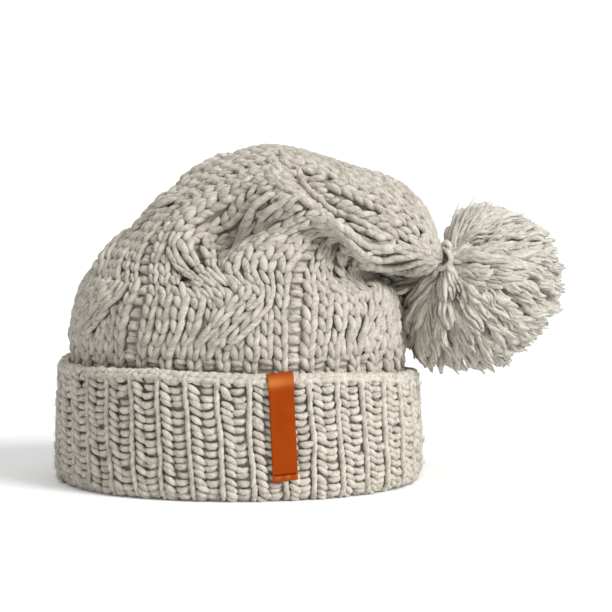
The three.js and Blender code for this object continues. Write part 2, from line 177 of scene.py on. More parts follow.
def length_along(points):
    """How much of a line lies behind each of its points."""
    steps = np.linalg.norm(np.diff(points, axis=-2), axis=-1)
    return np.concatenate([np.zeros_like(steps[..., :1]), np.cumsum(steps, axis=-1)], axis=-1)


def columns_at(places, spots, table):
    """A table's columns at places between its rows, which stand at the spots."""
    return np.stack([np.interp(places, spots, column) for column in table.T], -1)


def smoothed(line, reach):
    """A line's columns, averaged over reach points on each side. Its ends stay where they are."""
    window = np.hanning(2 * reach + 1) / np.hanning(2 * reach + 1).sum()
    padded = np.pad(line, ((reach, reach), (0, 0)), mode="reflect", reflect_type="odd")
    return np.stack([np.convolve(column, window, "valid") for column in padded.T], -1)


# The crown's surface


def section_values(along):
    """Smooth curves through the columns of the sections."""
    spots, columns = SECTIONS[:, 0], SECTIONS[:, 1:]
    last = len(spots) - 1
    index = np.arange(last + 1)
    before, after = np.maximum(index - 1, 0), np.minimum(index + 1, last)
    slopes = (columns[after] - columns[before]) / (spots[after] - spots[before])[:, None]
    i = np.clip(np.searchsorted(spots, along, side="right") - 1, 0, last - 1)
    span = (spots[i + 1] - spots[i])[..., None]
    t = (along - spots[i])[..., None] / span
    return (
        (2 * t**3 - 3 * t**2 + 1) * columns[i]
        + (t**3 - 2 * t**2 + t) * span * slopes[i]
        + (3 * t**2 - 2 * t**3) * columns[i + 1]
        + (t**3 - t**2) * span * slopes[i + 1]
    )


def crown_form(wale, along):
    """The crown's smooth form: wale runs around it, along runs from its edge to its tip."""
    outer_x, outer_z, inner_x, inner_z, depth, forward = np.moveaxis(section_values(along), -1, 0)
    angle = wale / WALES * 2 * np.pi
    share = 0.5 * np.cos(angle)
    return np.stack(
        [
            NECK_HALF_WIDTH * ((outer_x + inner_x) / 2 + (inner_x - outer_x) * share),
            NECK_HALF_DEPTH * (depth * np.sin(angle) - forward),
            CROWN_FOOT + CROWN_RISE * ((outer_z + inner_z) / 2 + (inner_z - outer_z) * share),
        ],
        axis=-1,
    )


def normals_of(surface, wale, along, step_wale=0.25, step_along=0.004):
    low, high = np.maximum(along - step_along, 0), np.minimum(along + step_along, 1)
    around = surface(wale + step_wale, along) - surface(wale - step_wale, along)
    up = surface(wale, high) - surface(wale, low)
    return unit(np.cross(around, up))


def fold_depth(wale, along):
    total = np.zeros(np.shape(wale))
    for from_wale, from_along, to_wale, to_along, reach, depth in np.concatenate([FOLDS, SOFT_FOLDS]):
        run = np.array([to_wale - from_wale, (to_along - from_along) * FOLD_ROWS])
        x = wrapped(wale - from_wale, WALES)
        y = (along - from_along) * FOLD_ROWS
        share = np.clip((x * run[0] + y * run[1]) / (run @ run), 0, 1)
        distance = np.hypot(x - share * run[0], y - share * run[1]) / reach
        total += depth * KNIT_WALL * np.exp(-(distance**2))
    return total


def crown_face(wale, along):
    """The crown's outer face with its dents and folds, without relief."""
    low, high = np.maximum(along - 0.01, 0), np.minimum(along + 0.01, 1)
    row = np.linalg.norm(crown_form(wale, high) - crown_form(wale, low), axis=-1)
    room = np.minimum(row / ((high - low) * FOLD_ROWS) / EASY_ROW, 1) ** 2
    out = room * fold_depth(wale, along)
    return crown_form(wale, along) + normals_of(crown_form, wale, along) * out[..., None]


def drawn_wale(wale, along):
    """Where a wale of the knit lies on the form: the front panel spreads out above its first
    crossing, the wales round the left and back crowd up for it, and the tail is twisted."""
    position = wale % WALES
    left = PURL_WALE + 3 * PANEL
    share = np.interp(position, [14, left, left + PANEL], [0, 1, 0])
    twist = np.interp(along, [0.68, 0.74, 0.88, 1.0], [0, 1.2, 6.5, 7.5])
    return wale - 4.5 * smoothstep(0.3, 0.5, along) * share + twist


# The rows are laid by length along each wale: this table gives along for wale and row.
TABLE_WALES = np.arange(0, WALES + 0.5, 0.5)
TABLE_ROWS = np.arange(-1, 60, 0.2)


def make_row_table():
    spots = np.linspace(0, 1, 501)
    table = []
    for wale in TABLE_WALES:
        points = crown_form(drawn_wale(np.full(spots.shape, wale), spots), spots)
        table.append(np.interp(TABLE_ROWS, length_along(points) / ROW, spots))
    return np.array(table)


ALONG = make_row_table()


def along_at(wale, row):
    x = (wale % WALES) * 2
    y = np.clip((row - TABLE_ROWS[0]) / 0.2, 0, len(TABLE_ROWS) - 1.001)
    i, j = x.astype(int), y.astype(int)
    s, t = x - i, y - j
    i2 = np.minimum(i + 1, len(TABLE_WALES) - 1)
    return (
        ALONG[i, j] * (1 - s) * (1 - t)
        + ALONG[i2, j] * s * (1 - t)
        + ALONG[i, j + 1] * (1 - s) * t
        + ALONG[i2, j + 1] * s * t
    )


def on_crown(wale, row):
    """Points and outward normals of the crown's face at a place in its knit."""
    along = along_at(wale, row)
    place = drawn_wale(wale, along)
    return crown_face(place, along), normals_of(crown_face, place, along)


# Yarn


def add_object(name, data):
    made = bpy.data.objects.new(name, data)
    bpy.context.scene.collection.objects.link(made)
    return made


def yarn_mesh(name, paths, ups, widths, heights, profile, sides=6):
    """Short closed lengths of yarn joined in one mesh: a ring of points round each point of each
    path. Its UV map has the way round in u and the length in centimetres in v."""
    count, rings = paths.shape[:2]
    ahead = unit(np.gradient(paths, axis=1))
    across = unit(np.cross(ahead, ups))
    over = np.cross(across, ahead)
    angles = np.arange(sides) / sides * 2 * np.pi
    shape = np.asarray(profile)[None, :, None, None]
    width, height = (np.reshape(half, (-1, 1, 1, 1)) for half in (widths, heights))
    ring = (
        across[:, :, None] * np.cos(angles)[:, None] * width
        + over[:, :, None] * np.sin(angles)[:, None] * height
    )
    points = (paths[:, :, None] + ring * shape).reshape(-1, 3)

    first = np.arange(count)[:, None, None] * rings * sides
    k = np.arange(rings - 1)[None, :, None] * sides
    i = np.arange(sides)[None, None, :]
    j = (i + 1) % sides
    quads = np.stack(
        [first + k + i, first + k + sides + i, first + k + sides + j, first + k + j], axis=-1
    ).reshape(-1, 4)
    start = (first[:, 0] + np.arange(sides)).tolist()
    end = (first[:, 0] + (rings * sides - 1) - np.arange(sides)).tolist()
    mesh = bpy.data.meshes.new(name)
    place = np.array(HAT_PLACE)
    mesh.from_pydata((points * MM + place).tolist(), [], quads.tolist() + start + end)

    length = length_along(paths) / 10 + random.random((count, 1)) * 40
    u = np.stack([i, i, i + 1, i + 1], -1) / sides + np.zeros((count, rings - 1, 1, 1))
    low, high = (np.repeat(part[..., None], sides, 2) for part in (length[:, :-1], length[:, 1:]))
    v = np.stack([low, high, high, low], -1)
    side_uv = np.stack([u, v], -1).reshape(-1, 2)
    caps = np.stack([np.arange(sides) / sides] * (2 * count)).reshape(-1)
    cap_v = np.concatenate([np.repeat(length[:, 0], sides), np.repeat(length[:, -1], sides)])
    uv = np.concatenate([side_uv, np.stack([caps, cap_v], -1)])
    mesh.uv_layers.new(name="yarn").data.foreach_set("uv", uv.ravel().astype(np.float32))
    tone = np.repeat(random.random(count), rings * sides).astype(np.float32)
    mesh.attributes.new("tone", "FLOAT", "POINT").data.foreach_set("value", tone)
    mesh.polygons.foreach_set("use_smooth", np.ones(len(mesh.polygons), bool))
    mesh.update()
    return add_object(name, mesh)


SPINDLE = [0.36, 0.78, 1.0, 1.0, 0.8, 0.4]
ALONG_LEG = np.array([0.0, 0.14, 0.36, 0.62, 0.84, 1.0])


class Lengths:
    """Gathers lengths of yarn that become one mesh."""

    def __init__(self):
        self.paths, self.ups, self.widths, self.heights = [], [], [], []

    def add(self, paths, ups, widths, heights):
        count = len(paths)
        self.paths.append(paths)
        self.ups.append(np.broadcast_to(ups, paths.shape))
        self.widths.append(np.broadcast_to(widths, count))
        self.heights.append(np.broadcast_to(heights, count))

    def mesh(self, name, profile=SPINDLE, sides=6):
        gathered = (self.paths, self.ups, self.widths, self.heights)
        return yarn_mesh(name, *map(np.concatenate, gathered), profile, sides)


# The crown's stitches


def crossings(start):
    """Row, side, and the strands that pass over and under at each crossing of the panel that starts
    at a wale. The strands cross in turn on the right, 1, and on the left, -1."""
    order = [0, 1, 2]
    for k in range(CROSSINGS[int(start - PURL_WALE) // PANEL % 6]):
        side = 1 if k % 2 == 0 else -1
        over, under = order[1], order[1 + side]
        yield CROSSING_ROW + CROSSINGS_APART * k, side, over, under
        order[1], order[1 + side] = under, over


def pulled_in(start, wale, row):
    """A crossing draws its six wales together and pulls the wales beside them along."""
    for at, side, _, _ in crossings(start):
        pull = np.exp(-(((row - at) / 2.1) ** 4))
        low, high = (4.5, 10.5) if side > 0 else (1.5, 7.5)
        new_low = low + pull * (0.44 * side + 0.55)
        new_high = high + pull * (0.44 * side - 0.55)
        inside = new_low + (wale - low) / (high - low) * (new_high - new_low)
        above = new_high + (wale - high) / (PANEL - high) * (PANEL - new_high)
        moved = np.where(wale < low, wale / low * new_low, np.where(wale > high, above, inside))
        wale = np.where((wale > 0) & (wale < PANEL), moved, wale)
    return wale


def strand_line(start, strand, offset, row):
    """Wale from the purl wale, row and lift of the line that lies offset wales beside the middle of
    a strand. Strand -1 is the panel itself, whose wales run straight up."""
    if strand < 0:
        return pulled_in(start, offset + 0 * row, row), row, np.zeros(row.shape)
    wale = 3.0 + 3.0 * strand + 0 * row
    slope, lift = np.zeros(row.shape), np.zeros(row.shape)
    for at, side, over, under in crossings(start):
        if strand == over:
            share = np.clip((row - at) / CROSSING_REACH / 2 + 0.5, 0, 1)
            wale = wale + 3 * side * share**2 * (3 - 2 * share)
            slope = slope + 9 * side * share * (1 - share) / CROSSING_REACH
            lift = lift + 2.4 * np.exp(-(((row - at) / 1.8) ** 4))
        elif strand == under:
            hidden = at + 1.2 * offset * side
            wale = wale - 3 * side * smoothstep(hidden - 0.5, hidden + 0.5, row)
            lift = lift - 3.4 * np.exp(-(((row - hidden) / 0.9) ** 4))
    angle = np.arctan(slope * WALE / ROW)
    wale = wale + offset * np.cos(angle)
    row = row - offset * np.sin(angle) * WALE / ROW
    return pulled_in(start, wale, row), row, lift + 0.9 - 1.2 * (offset / 1.5) ** 2


# The panel is decreased towards the tip, so that a stitch stays 6 to 9 millimetres wide. For each
# stage: the knit wales that the panel has, as strand, offset and width in wales; and after it the
# widths of one full wale at which the next stage begins.
EDGE_WALES = [(-1, 1.0, 1.0), (-1, 11.0, 1.0)]
STAGES = [
    EDGE_WALES + [(s, o, 1.0) for s in range(3) for o in (-1.0, 0.0, 1.0)],
    EDGE_WALES + [(s, o, 1.5) for s in range(3) for o in (-0.75, 0.75)],
] + [[(-1, PANEL / n * (k + 0.5), PANEL / n) for k in range(n)] for n in (6, 4, 3, 2, 1)]
NEXT_STAGE_AT = [1.0, 1.5, 2.1, 3.1, 4.4, 5.6]


def stages_of(start):
    """The stage of a panel's decreases at each hundredth of the way along the crown."""
    along, wale = np.meshgrid(np.linspace(0.01, 0.99, 99), start + np.arange(0.0, PANEL + 1, 2))
    place = drawn_wale(wale, along)
    points = crown_form(place, along)
    above = crown_form(drawn_wale(wale, along + 0.004), along + 0.004)
    across = unit(np.cross(above - points, normals_of(crown_form, place, along)))
    apart = np.diff(points, axis=0) * (across[1:] + across[:-1]) / 2
    widths = np.abs(apart.sum(axis=-1)).mean(axis=0) / 2
    narrowest = np.minimum.accumulate(widths)
    return len(NEXT_STAGE_AT) - np.searchsorted(NEXT_STAGE_AT, narrowest)


class Line:
    """A line on the hat that stitches follow, with the way across it and the room beside it."""

    def __init__(self, spots, middle, ups, room):
        self.spots, self.room = spots, np.broadcast_to(room, spots.shape)
        ahead = unit(np.gradient(middle, axis=0))
        self.columns = np.concatenate([middle, ups, unit(np.cross(ahead, ups))], axis=1)

    def legs(self, spots, aside, out):
        """Points and outward normals at spots along the line, moved aside and out."""
        columns = columns_at(spots, self.spots, self.columns)
        middle, ups, across = columns[..., :3], unit(columns[..., 3:6]), unit(columns[..., 6:])
        return middle + across * aside[..., None] + ups * out[..., None], ups

    def room_at(self, spots):
        return np.interp(spots, self.spots, self.room)


def wale_line(start, strand, offset, width, first, last):
    """The line that a knit wale of a panel follows between two rows."""
    rows = np.arange(first - 1.5, last + 2.5, 0.1)
    sides = []
    for beside in (-width / 2, 0.0, width / 2):
        wale, row, lift = strand_line(start, strand, offset + beside, rows)
        wale = start + wale + 0.09 * drift(start + wale * 0.6, row * 0.5, 1)
        points, ups = on_crown(wale, row)
        sides.append(points + ups * lift[:, None])
        if beside == 0.0:
            middle_ups = ups
    ahead = unit(np.gradient(sides[1], axis=0))
    across = unit(np.cross(ahead, middle_ups))
    room = np.abs(np.sum((sides[2] - sides[0]) * across, axis=1))
    return Line(rows, sides[1], middle_ups, np.clip(room, 3.8, 9.6))


def lay_wale(lengths, line, rows):
    """Knit stitches up a wale. The left leg slants and the right one, drawn tighter, runs nearly
    straight up; both come out between the legs below and dive under the stitch above."""
    t = ALONG_LEG
    rows = np.array(rows, float)[:, None]
    count = len(rows)
    room = line.room_at(rows)
    narrow = np.clip(room / WALE, 0.76, 1.14)
    for foot, top, low, high in ((-0.05, -0.42, -0.22, 1.04), (0.12, 0.37, -0.36, 1.16)):
        share = foot + (top - foot) * t + shake(count, 0.022) + shake(count, 0.03) * (t - 0.5)
        spots = rows + low + (high - low) * t + shake(count, 0.06)
        arc = np.sin(np.pi * (0.84 * t + 0.13)) ** 0.8
        out = -2.4 + 1.75 * arc - 0.9 * t + shake(count, 0.25)
        points, ups = line.legs(spots, share * room, out)
        swell = (1 + shake(count, 0.08))[:, 0] * narrow[:, 0]
        lengths.add(points, ups, 2.15 * swell, 2.05 * np.clip(swell, 0.75, 1.1))


def drift(x, y, which):
    """A smooth wandering between about -1 and 1, so that no row or wale runs dead straight."""
    return (
        np.sin(1.3 * x + 0.7 * y + 1.9 * which)
        + np.sin(-0.8 * x + 1.6 * y + 4.1 * which)
        + np.sin(2.3 * x + 2.1 * y + 0.6 * which)
    ) / 2.2


def lay_purl(lengths, wale, row, way, reach, out):
    """Purl bumps in one wale: short arcs of yarn across it."""
    t = ALONG_LEG * 2 - 1
    row = np.array(row, float)[:, None]
    count = len(row)
    at = row + way * 0.2 * (0.5 - t**2) + shake(count, 0.1) * t + shake(count, 0.05)
    points, ups = on_crown(wale + reach * t + shake(count, 0.04), at)
    lift = out - 1.9 * t**2 + shake(count, 0.3)
    lengths.add(points + ups * lift[..., None], ups, 2.05, 1.9)


def in_fold_zone(place, along):
    """Whether places lie where the strands of the fold are laid instead of the even knit."""
    inside = np.zeros(place.shape, bool)
    for zone in (FOLD_ZONE, LIP_ZONE):
        for (x0, y0), (x1, y1) in zip(zone, zone[1:] + zone[:1]):
            if y0 != y1:
                before = place % WALES < x0 + (along - y0) / (y1 - y0) * (x1 - x0)
                inside ^= ((y0 > along) != (y1 > along)) & before
    return inside


def rows_of(start, stages, stage, strand, offset):
    """The rows in which a knit wale of a panel has stitches at one stage of the decreases."""
    rows = np.arange(RIB_ROWS, 56).astype(float)
    wale, at, _ = strand_line(start, strand, offset, rows)
    along = along_at(start + wale, at)
    here = stages[np.clip((along * 100).astype(int), 0, 98)] == stage
    clear = ~in_fold_zone(drawn_wale(start + wale, along), along)
    return rows[here & clear & (along < 0.985)]


def make_crown_stitches():
    pieces = []
    for side, name in ((0, "crown_stitches_back"), (1, "crown_stitches_front")):
        lengths = Lengths()
        for start in (PURL_WALE + side * 3 * PANEL + PANEL * np.arange(3)).tolist():
            stages = stages_of(start)
            for stage, wales in enumerate(STAGES):
                for strand, offset, width in wales:
                    rows = rows_of(start, stages, stage, strand, offset)
                    if len(rows):
                        lay_wale(lengths, wale_line(start, strand, offset, width, rows[0], rows[-1]), rows)
            purls = np.concatenate([rows_of(start, stages, stage, -1, 0.0) for stage in (0, 1)])
            lay_purl(lengths, start, purls + 0.05, 1, 0.54, -1.9)
            lay_purl(lengths, start, purls + 0.52, -1, 0.45, -2.7)
            for wale in range(start, start + PANEL, 2):
                line = wale_line(wale + 1, -1, 0.0, 1.0, 0, RIB_ROWS)
                lay_wale(lengths, line, range(RIB_ROWS))
                lay_purl(lengths, wale, np.arange(RIB_ROWS) + 0.1, 1, 0.5, -2.6)
                lay_purl(lengths, wale, np.arange(RIB_ROWS) + 0.6, -1, 0.5, -2.6)
                lay_purl(lengths, wale, [RIB_ROWS - 0.4], 1, 0.5, -0.9)
        pieces.append(lengths.mesh(name))
    return pieces


# Strands drawn long where the tail folds over: what they are, how far they stand out, and their
# route over the crown in wale and along
FOLD_STRANDS = [
    ("smooth", 0.9, [(41.6, 0.702), (44.8, 0.709), (47.9, 0.714), (49.4, 0.719), (51.3, 0.733),
                     (52.7, 0.753), (53.8, 0.777), (54.6, 0.803), (55.0, 0.82)]),
    ("rope", 0.6, [(50.0, 0.64), (51.2, 0.66), (52.0, 0.685), (52.9, 0.705), (53.7, 0.724),
                   (54.5, 0.747), (55.4, 0.771), (55.6, 0.801)]),
    ("smooth", -0.2, [(51.0, 0.65), (52.1, 0.67), (53.7, 0.677), (55.3, 0.686), (56.7, 0.702),
                      (57.9, 0.722), (58.2, 0.758), (56.8, 0.804), (54.8, 0.831)]),
    ("smooth", 0.0, [(54.2, 0.657), (55.9, 0.662), (57.8, 0.668), (60.0, 0.678), (61.4, 0.718),
                     (60.5, 0.802), (58.8, 0.884), (55.5, 0.952)]),
    ("smooth", 0.0, [(57.3, 0.65), (59.5, 0.653), (62.5, 0.664), (64.4, 0.702), (63.2, 0.806),
                     (60.6, 0.9), (57.5, 0.955)]),
    ("rope", -0.4, [(61.3, 0.646), (65.6, 0.66), (67.6, 0.7), (66.6, 0.798), (62.8, 0.909), (60, 0.96)]),
    ("smooth", -0.3, [(54.8, 0.82), (56.6, 0.85), (57.4, 0.89), (56.4, 0.94), (54.5, 0.965)]),
    ("smooth", -0.9, [(56.9, 0.79), (58.6, 0.82), (59.2, 0.87), (58.0, 0.93), (56.0, 0.965)]),
    ("bumps", 0.2, [(46.0, 0.712), (49.4, 0.72), (51.3, 0.734), (52.7, 0.754), (53.8, 0.778), (54.6, 0.803)]),
    ("smooth", 0.7, [(41.1, 0.657), (42.8, 0.661), (43.9, 0.671), (45.2, 0.677)]),
    ("smooth", 0.9, [(43.2, 0.654), (45.2, 0.648), (46.8, 0.652), (47.5, 0.666)]),
    ("smooth", 0.7, [(44.6, 0.649), (47.1, 0.642), (48.3, 0.651), (48.7, 0.669)]),
    ("smooth", -0.5, [(58.6, 0.712), (58.9, 0.74), (58.6, 0.77), (57.8, 0.81), (56.5, 0.86)]),
    ("smooth", -1.2, [(50.6, 0.54), (50.4, 0.565), (50.5, 0.59), (50.7, 0.62)]),
    ("smooth", -1.2, [(48.9, 0.54), (48.4, 0.565), (48.4, 0.59), (48.2, 0.61)]),
    ("smooth", 2.4, [(49.6, 0.545), (49.3, 0.57), (49.2, 0.592), (48.8, 0.615)]),
    ("smooth", 2.2, [(49.9, 0.572), (50.2, 0.59), (50.3, 0.612), (50.2, 0.63)]),
]

# The parts of the fold, in wale and along, where those strands take the even knit's place
LIP_ZONE = [(48.4, 0.542), (50.9, 0.545), (51.2, 0.582), (50.8, 0.615), (49.2, 0.62), (48.4, 0.6)]
FOLD_ZONE = [
    (45.0, 0.705), (49.0, 0.712), (51.5, 0.727), (53.5, 0.77), (54.6, 0.82), (58.0, 0.9), (61.0, 0.93),
    (65.0, 0.86), (68.6, 0.76), (68.6, 0.68), (65.0, 0.655), (57.8, 0.65), (53.3, 0.648), (50.6, 0.64),
    (49.6, 0.66),
]


def route_line(route):
    """A line over the crown through the places of a route. Its spots are lengths in millimetres."""
    knots = np.array(route, float)
    fine = np.linspace(0, len(knots) - 1, 60)
    wale, along = smoothed(columns_at(fine, np.arange(len(knots)), knots), 4).T
    points, ups = crown_face(wale, along), normals_of(crown_face, wale, along)
    return Line(length_along(points), points, ups, WALE)


def make_fold_strands():
    """The strands of the fold: smooth ones, ropes of slanting legs, and the short bumps beside."""
    lengths = Lengths()
    t = ALONG_LEG
    arc = np.sin(np.pi * (0.84 * t + 0.1)) ** 0.7
    for kind, lift, route in FOLD_STRANDS:
        line = route_line(route)
        pitch, reach, foot, top, half = {
            "smooth": (7.0, 13.0, -0.5, 0.6, 2.15),
            "rope": (5.8, 10.5, 2.2, -2.4, 2.1),
            "bumps": (6.4, 6.5, -2.2, -6.6, 1.95),
        }[kind]
        starts = np.arange(-2.0, line.spots[-1] - reach * 0.5, pitch)[:, None]
        count = len(starts)
        aside = foot + (top - foot) * t + shake(count, 0.25) + shake(count, 0.3) * (t - 0.5)
        out = lift - 1.6 + 1.2 * arc - 0.5 * t + shake(count, 0.2)
        points, ups = line.legs(np.clip(starts + reach * t, 0, line.spots[-1] + 1), aside, out)
        swell = 1 + shake(count, 0.07)[:, 0]
        lengths.add(points, ups, half * swell, half * swell)
    return lengths.mesh("fold_strands")


WALL_DEPTH = 3.1  # from the crown's face in to the wall behind the stitches
WALL_THICKNESS = 2.6


def make_crown_wall():
    """The wall behind the stitches: a grid laid round the form, thickened inwards."""
    shell = bmesh.new()
    bmesh.ops.create_grid(shell, x_segments=WALES * 2, y_segments=70, size=0.5)
    shell.verts.ensure_lookup_table()
    flat = np.array([v.co for v in shell.verts])
    wale, along = (flat[:, 0] + 0.5) * WALES, (flat[:, 1] + 0.5) * 0.995
    points = crown_face(wale, along) - normals_of(crown_face, wale, along) * WALL_DEPTH
    for vert, point in zip(shell.verts, points * MM + np.array(HAT_PLACE)):
        vert.co = point
    bmesh.ops.remove_doubles(shell, verts=shell.verts, dist=1e-5)
    made = finished(shell, "crown_wall")
    thicken = made.modifiers.new("wall", "SOLIDIFY")
    thicken.thickness = WALL_THICKNESS * MM
    thicken.offset = -1
    return made


def finished(shape, name, smooth=True):
    """A bmesh as an object in the scene."""
    mesh = bpy.data.meshes.new(name)
    shape.to_mesh(mesh)
    shape.free()
    mesh.polygons.foreach_set("use_smooth", np.full(len(mesh.polygons), smooth))
    return add_object(name, mesh)


# The cuff


def edge_dip(angle):
    right = np.maximum(np.cos(angle), 0) ** 3
    left = np.maximum(-np.cos(angle), 0) ** 2
    return EDGE_DIP_RIGHT * right + EDGE_DIP_LEFT * left


def edge_rise(angle):
    """How far the soft edge stands over the solid's: most at the front left, and not at all under
    the tab, which presses it down. At the back right it lies lower."""
    from_left = wrapped(angle - np.radians(232), 2 * np.pi)
    from_tab = wrapped(angle - TAB_ANGLE, 2 * np.pi)
    behind = wrapped(angle - np.radians(36), 2 * np.pi)
    free = 1.4 + 1.7 * np.exp(-((from_left / 0.5) ** 2)) - 6.5 * np.exp(-((behind / 0.5) ** 2))
    return free * (1 - np.exp(-((from_tab / 0.16) ** 2)))


def cuff_out(up):
    share = up / CUFF_HEIGHT
    return CUFF_SLOT + CUFF_OUTER_LAYER + CUFF_BULGE * np.sin(np.pi * np.minimum(share * 0.55 + 0.45, 1))


TAB_ANGLE = -math.acos(TAB_PLACE / (NECK_HALF_WIDTH + float(cuff_out(CUFF_HEIGHT))))


def cuff_skin():
    """The cuff's visible face in profile, out and up, from the top edge down its front, round the
    fold and up inside: a smooth line with a point every tenth of a millimetre."""
    front = np.linspace(CUFF_HEIGHT - 2, 9, 30)
    corner = cuff_out(0.0)
    knots = np.concatenate([
        np.stack([cuff_out(front), front], 1),
        [[corner - 0.4, 5.2], [corner - 2.2, 1.6], [5.4, 0.2], [3.5, 0.0], [1.8, 0.0], [0.0, 0.0]],
        [[-2.0, 0.3], [-4.2, 1.9], [-5.3, 4.6]],
        np.stack([np.full(20, -CUFF_INNER_LAYER), np.linspace(8, CROWN_FOOT - 0.4, 20)], 1),
    ])
    length = length_along(knots)
    return smoothed(columns_at(np.arange(0, length[-1], 0.1), length, knots), 20)


CUFF_SKIN = cuff_skin()
CUFF_TURN = np.gradient(CUFF_SKIN, axis=0)


def on_cuff(aside, down):
    """Points and outward normals on the cuff: aside is the way round, in degrees, and down the way
    down its front from the top edge, over the fold and up inside, in millimetres."""
    angle = np.radians(aside)
    spots = np.arange(len(CUFF_SKIN))
    skin_and_turn = np.concatenate([CUFF_SKIN, CUFF_TURN], axis=1)
    out, up, turn_out, turn_up = np.moveaxis(columns_at(down * 10, spots, skin_and_turn), -1, 0)
    past_edge = np.maximum(-down, 0)
    lower = edge_dip(angle) - edge_rise(angle)
    up = up + past_edge - lower * np.clip(up / CUFF_HEIGHT, 0, 1) ** 2 * (down < 70)
    points = np.stack(
        [(NECK_HALF_WIDTH + out) * np.cos(angle), (NECK_HALF_DEPTH + out) * np.sin(angle), up], -1
    )
    facing = -turn_up / np.hypot(turn_out, turn_up)
    rising = turn_out / np.hypot(turn_out, turn_up)
    normals = np.stack([facing * np.cos(angle), facing * np.sin(angle), rising], -1)
    return points, unit(normals)


def lay_on_cuff(lengths, rib, aside, down, out, half_width, half_height):
    """Lays one length of yarn for each rib and row. aside is in millimetres from the purl wale. The
    ribs lean, and none runs dead straight."""
    place = rib * 360 / RIBS
    lean = RIB_LEAN * np.minimum(down, 80) * (1 + 0.6 * np.clip(-np.cos(np.radians(place)), 0, 1))
    aside = aside + lean + 0.7 * drift(rib * 1.7, down * 0.07, 3)
    down = down + 0.5 * drift(rib * 1.3 + aside * 0.05, down * 0.09, 4)
    out = out + 0.35 * drift(rib * 2.1, down * 0.12, 5)
    points, ups = on_cuff(place + aside / RIB_WIDTH * 360 / RIBS, down)
    count = len(points)
    swell = 1 + 0.05 * random.normal(0, 1, count)
    lengths.add(points + ups * out[..., None], ups, half_width * swell, half_height * swell)


def make_cuff_stitches(name, first, last):
    """The cuff's rib between two rows, the knit wale upside down because the cuff is turned up: its
    left leg is squeezed into a smooth line, and its right leg lies slanting beside it."""
    ribs, rows = grid_of(RIBS, range(first, last))
    count = len(ribs)
    t = ALONG_LEG[None, :]
    arc = np.sin(np.pi * np.clip(t * 0.96 + 0.02, 0, 1))
    down = rows * CUFF_ROW + 2.0
    lengths = Lengths()
    lay_on_cuff(
        lengths, ribs,
        6.1 - 1.1 * t + shake(count, 0.16),
        down - 3.4 + 7.2 * t + shake(count, 0.35),
        -1.9 + 0.8 * arc**0.6 - 0.4 * t + shake(count, 0.22), 1.65, 1.8,
    )
    lay_on_cuff(
        lengths, ribs,
        7.3 + 6.4 * t**0.95 + shake(count, 0.3) + shake(count, 0.4) * t,
        down - 2.5 + (5.2 + shake(count, 0.5)) * t**1.05 + shake(count, 0.35),
        -2.8 + 1.9 * arc**0.8 - 0.5 * t + shake(count, 0.3), 1.9, 2.0,
    )
    lay_on_cuff(
        lengths, ribs,
        -4.4 + 8.8 * t + shake(count, 0.5),
        down + 0.1 + (1.7 + shake(count, 0.5)) * arc - (1.0 + shake(count, 0.7)) * t**2,
        -3.7 + 2.2 * arc**1.2 - 0.5 * t + shake(count, 0.4), 1.95, 2.0,
    )
    return lengths.mesh(name)


def grid_of(count, values):
    """Two columns: for each of count ribs, each of the values."""
    ribs, others = np.meshgrid(np.arange(count), np.array(list(values)))
    return ribs.ravel()[:, None], others.ravel()[:, None]


def make_cuff_edge():
    """The cast-on edge: soft beads of yarn along the cuff's top, and a loop up over each rib."""
    ribs, parts = grid_of(RIBS, range(4))
    t = ALONG_LEG[None, :]
    arc = np.sin(np.pi * t)
    count = len(ribs)
    lengths = Lengths()
    aside = parts * 4.4 - 3.6 + 7.2 * t + shake(count, 0.3)
    lay_on_cuff(
        lengths, ribs, aside, 1.6 - 1.2 * t + 0.5 * arc + shake(count, 0.25),
        -1.9 + 0.7 * arc + shake(count, 0.2), 1.8, 1.9,
    )
    lay_on_cuff(
        lengths, ribs, aside + 1.8, 0.0 - 1.1 * t + shake(count, 0.25),
        -3.1 + 0.6 * arc + shake(count, 0.2), 1.9, 2.1,
    )
    lay_on_cuff(
        lengths, ribs, aside - 1.2, -0.4 - 0.9 * arc + shake(count, 0.2),
        -5.2 + 0.4 * arc + shake(count, 0.15), 1.8, 2.0,
    )
    ribs = np.arange(RIBS)[:, None]
    lay_on_cuff(
        lengths, ribs, 5.7 + shake(RIBS, 0.2) + 0.6 * t, 6.5 - 6.6 * t, -1.0 - 1.1 * t + 0.5 * arc, 1.6, 1.8
    )
    return lengths.mesh("cuff_edge")


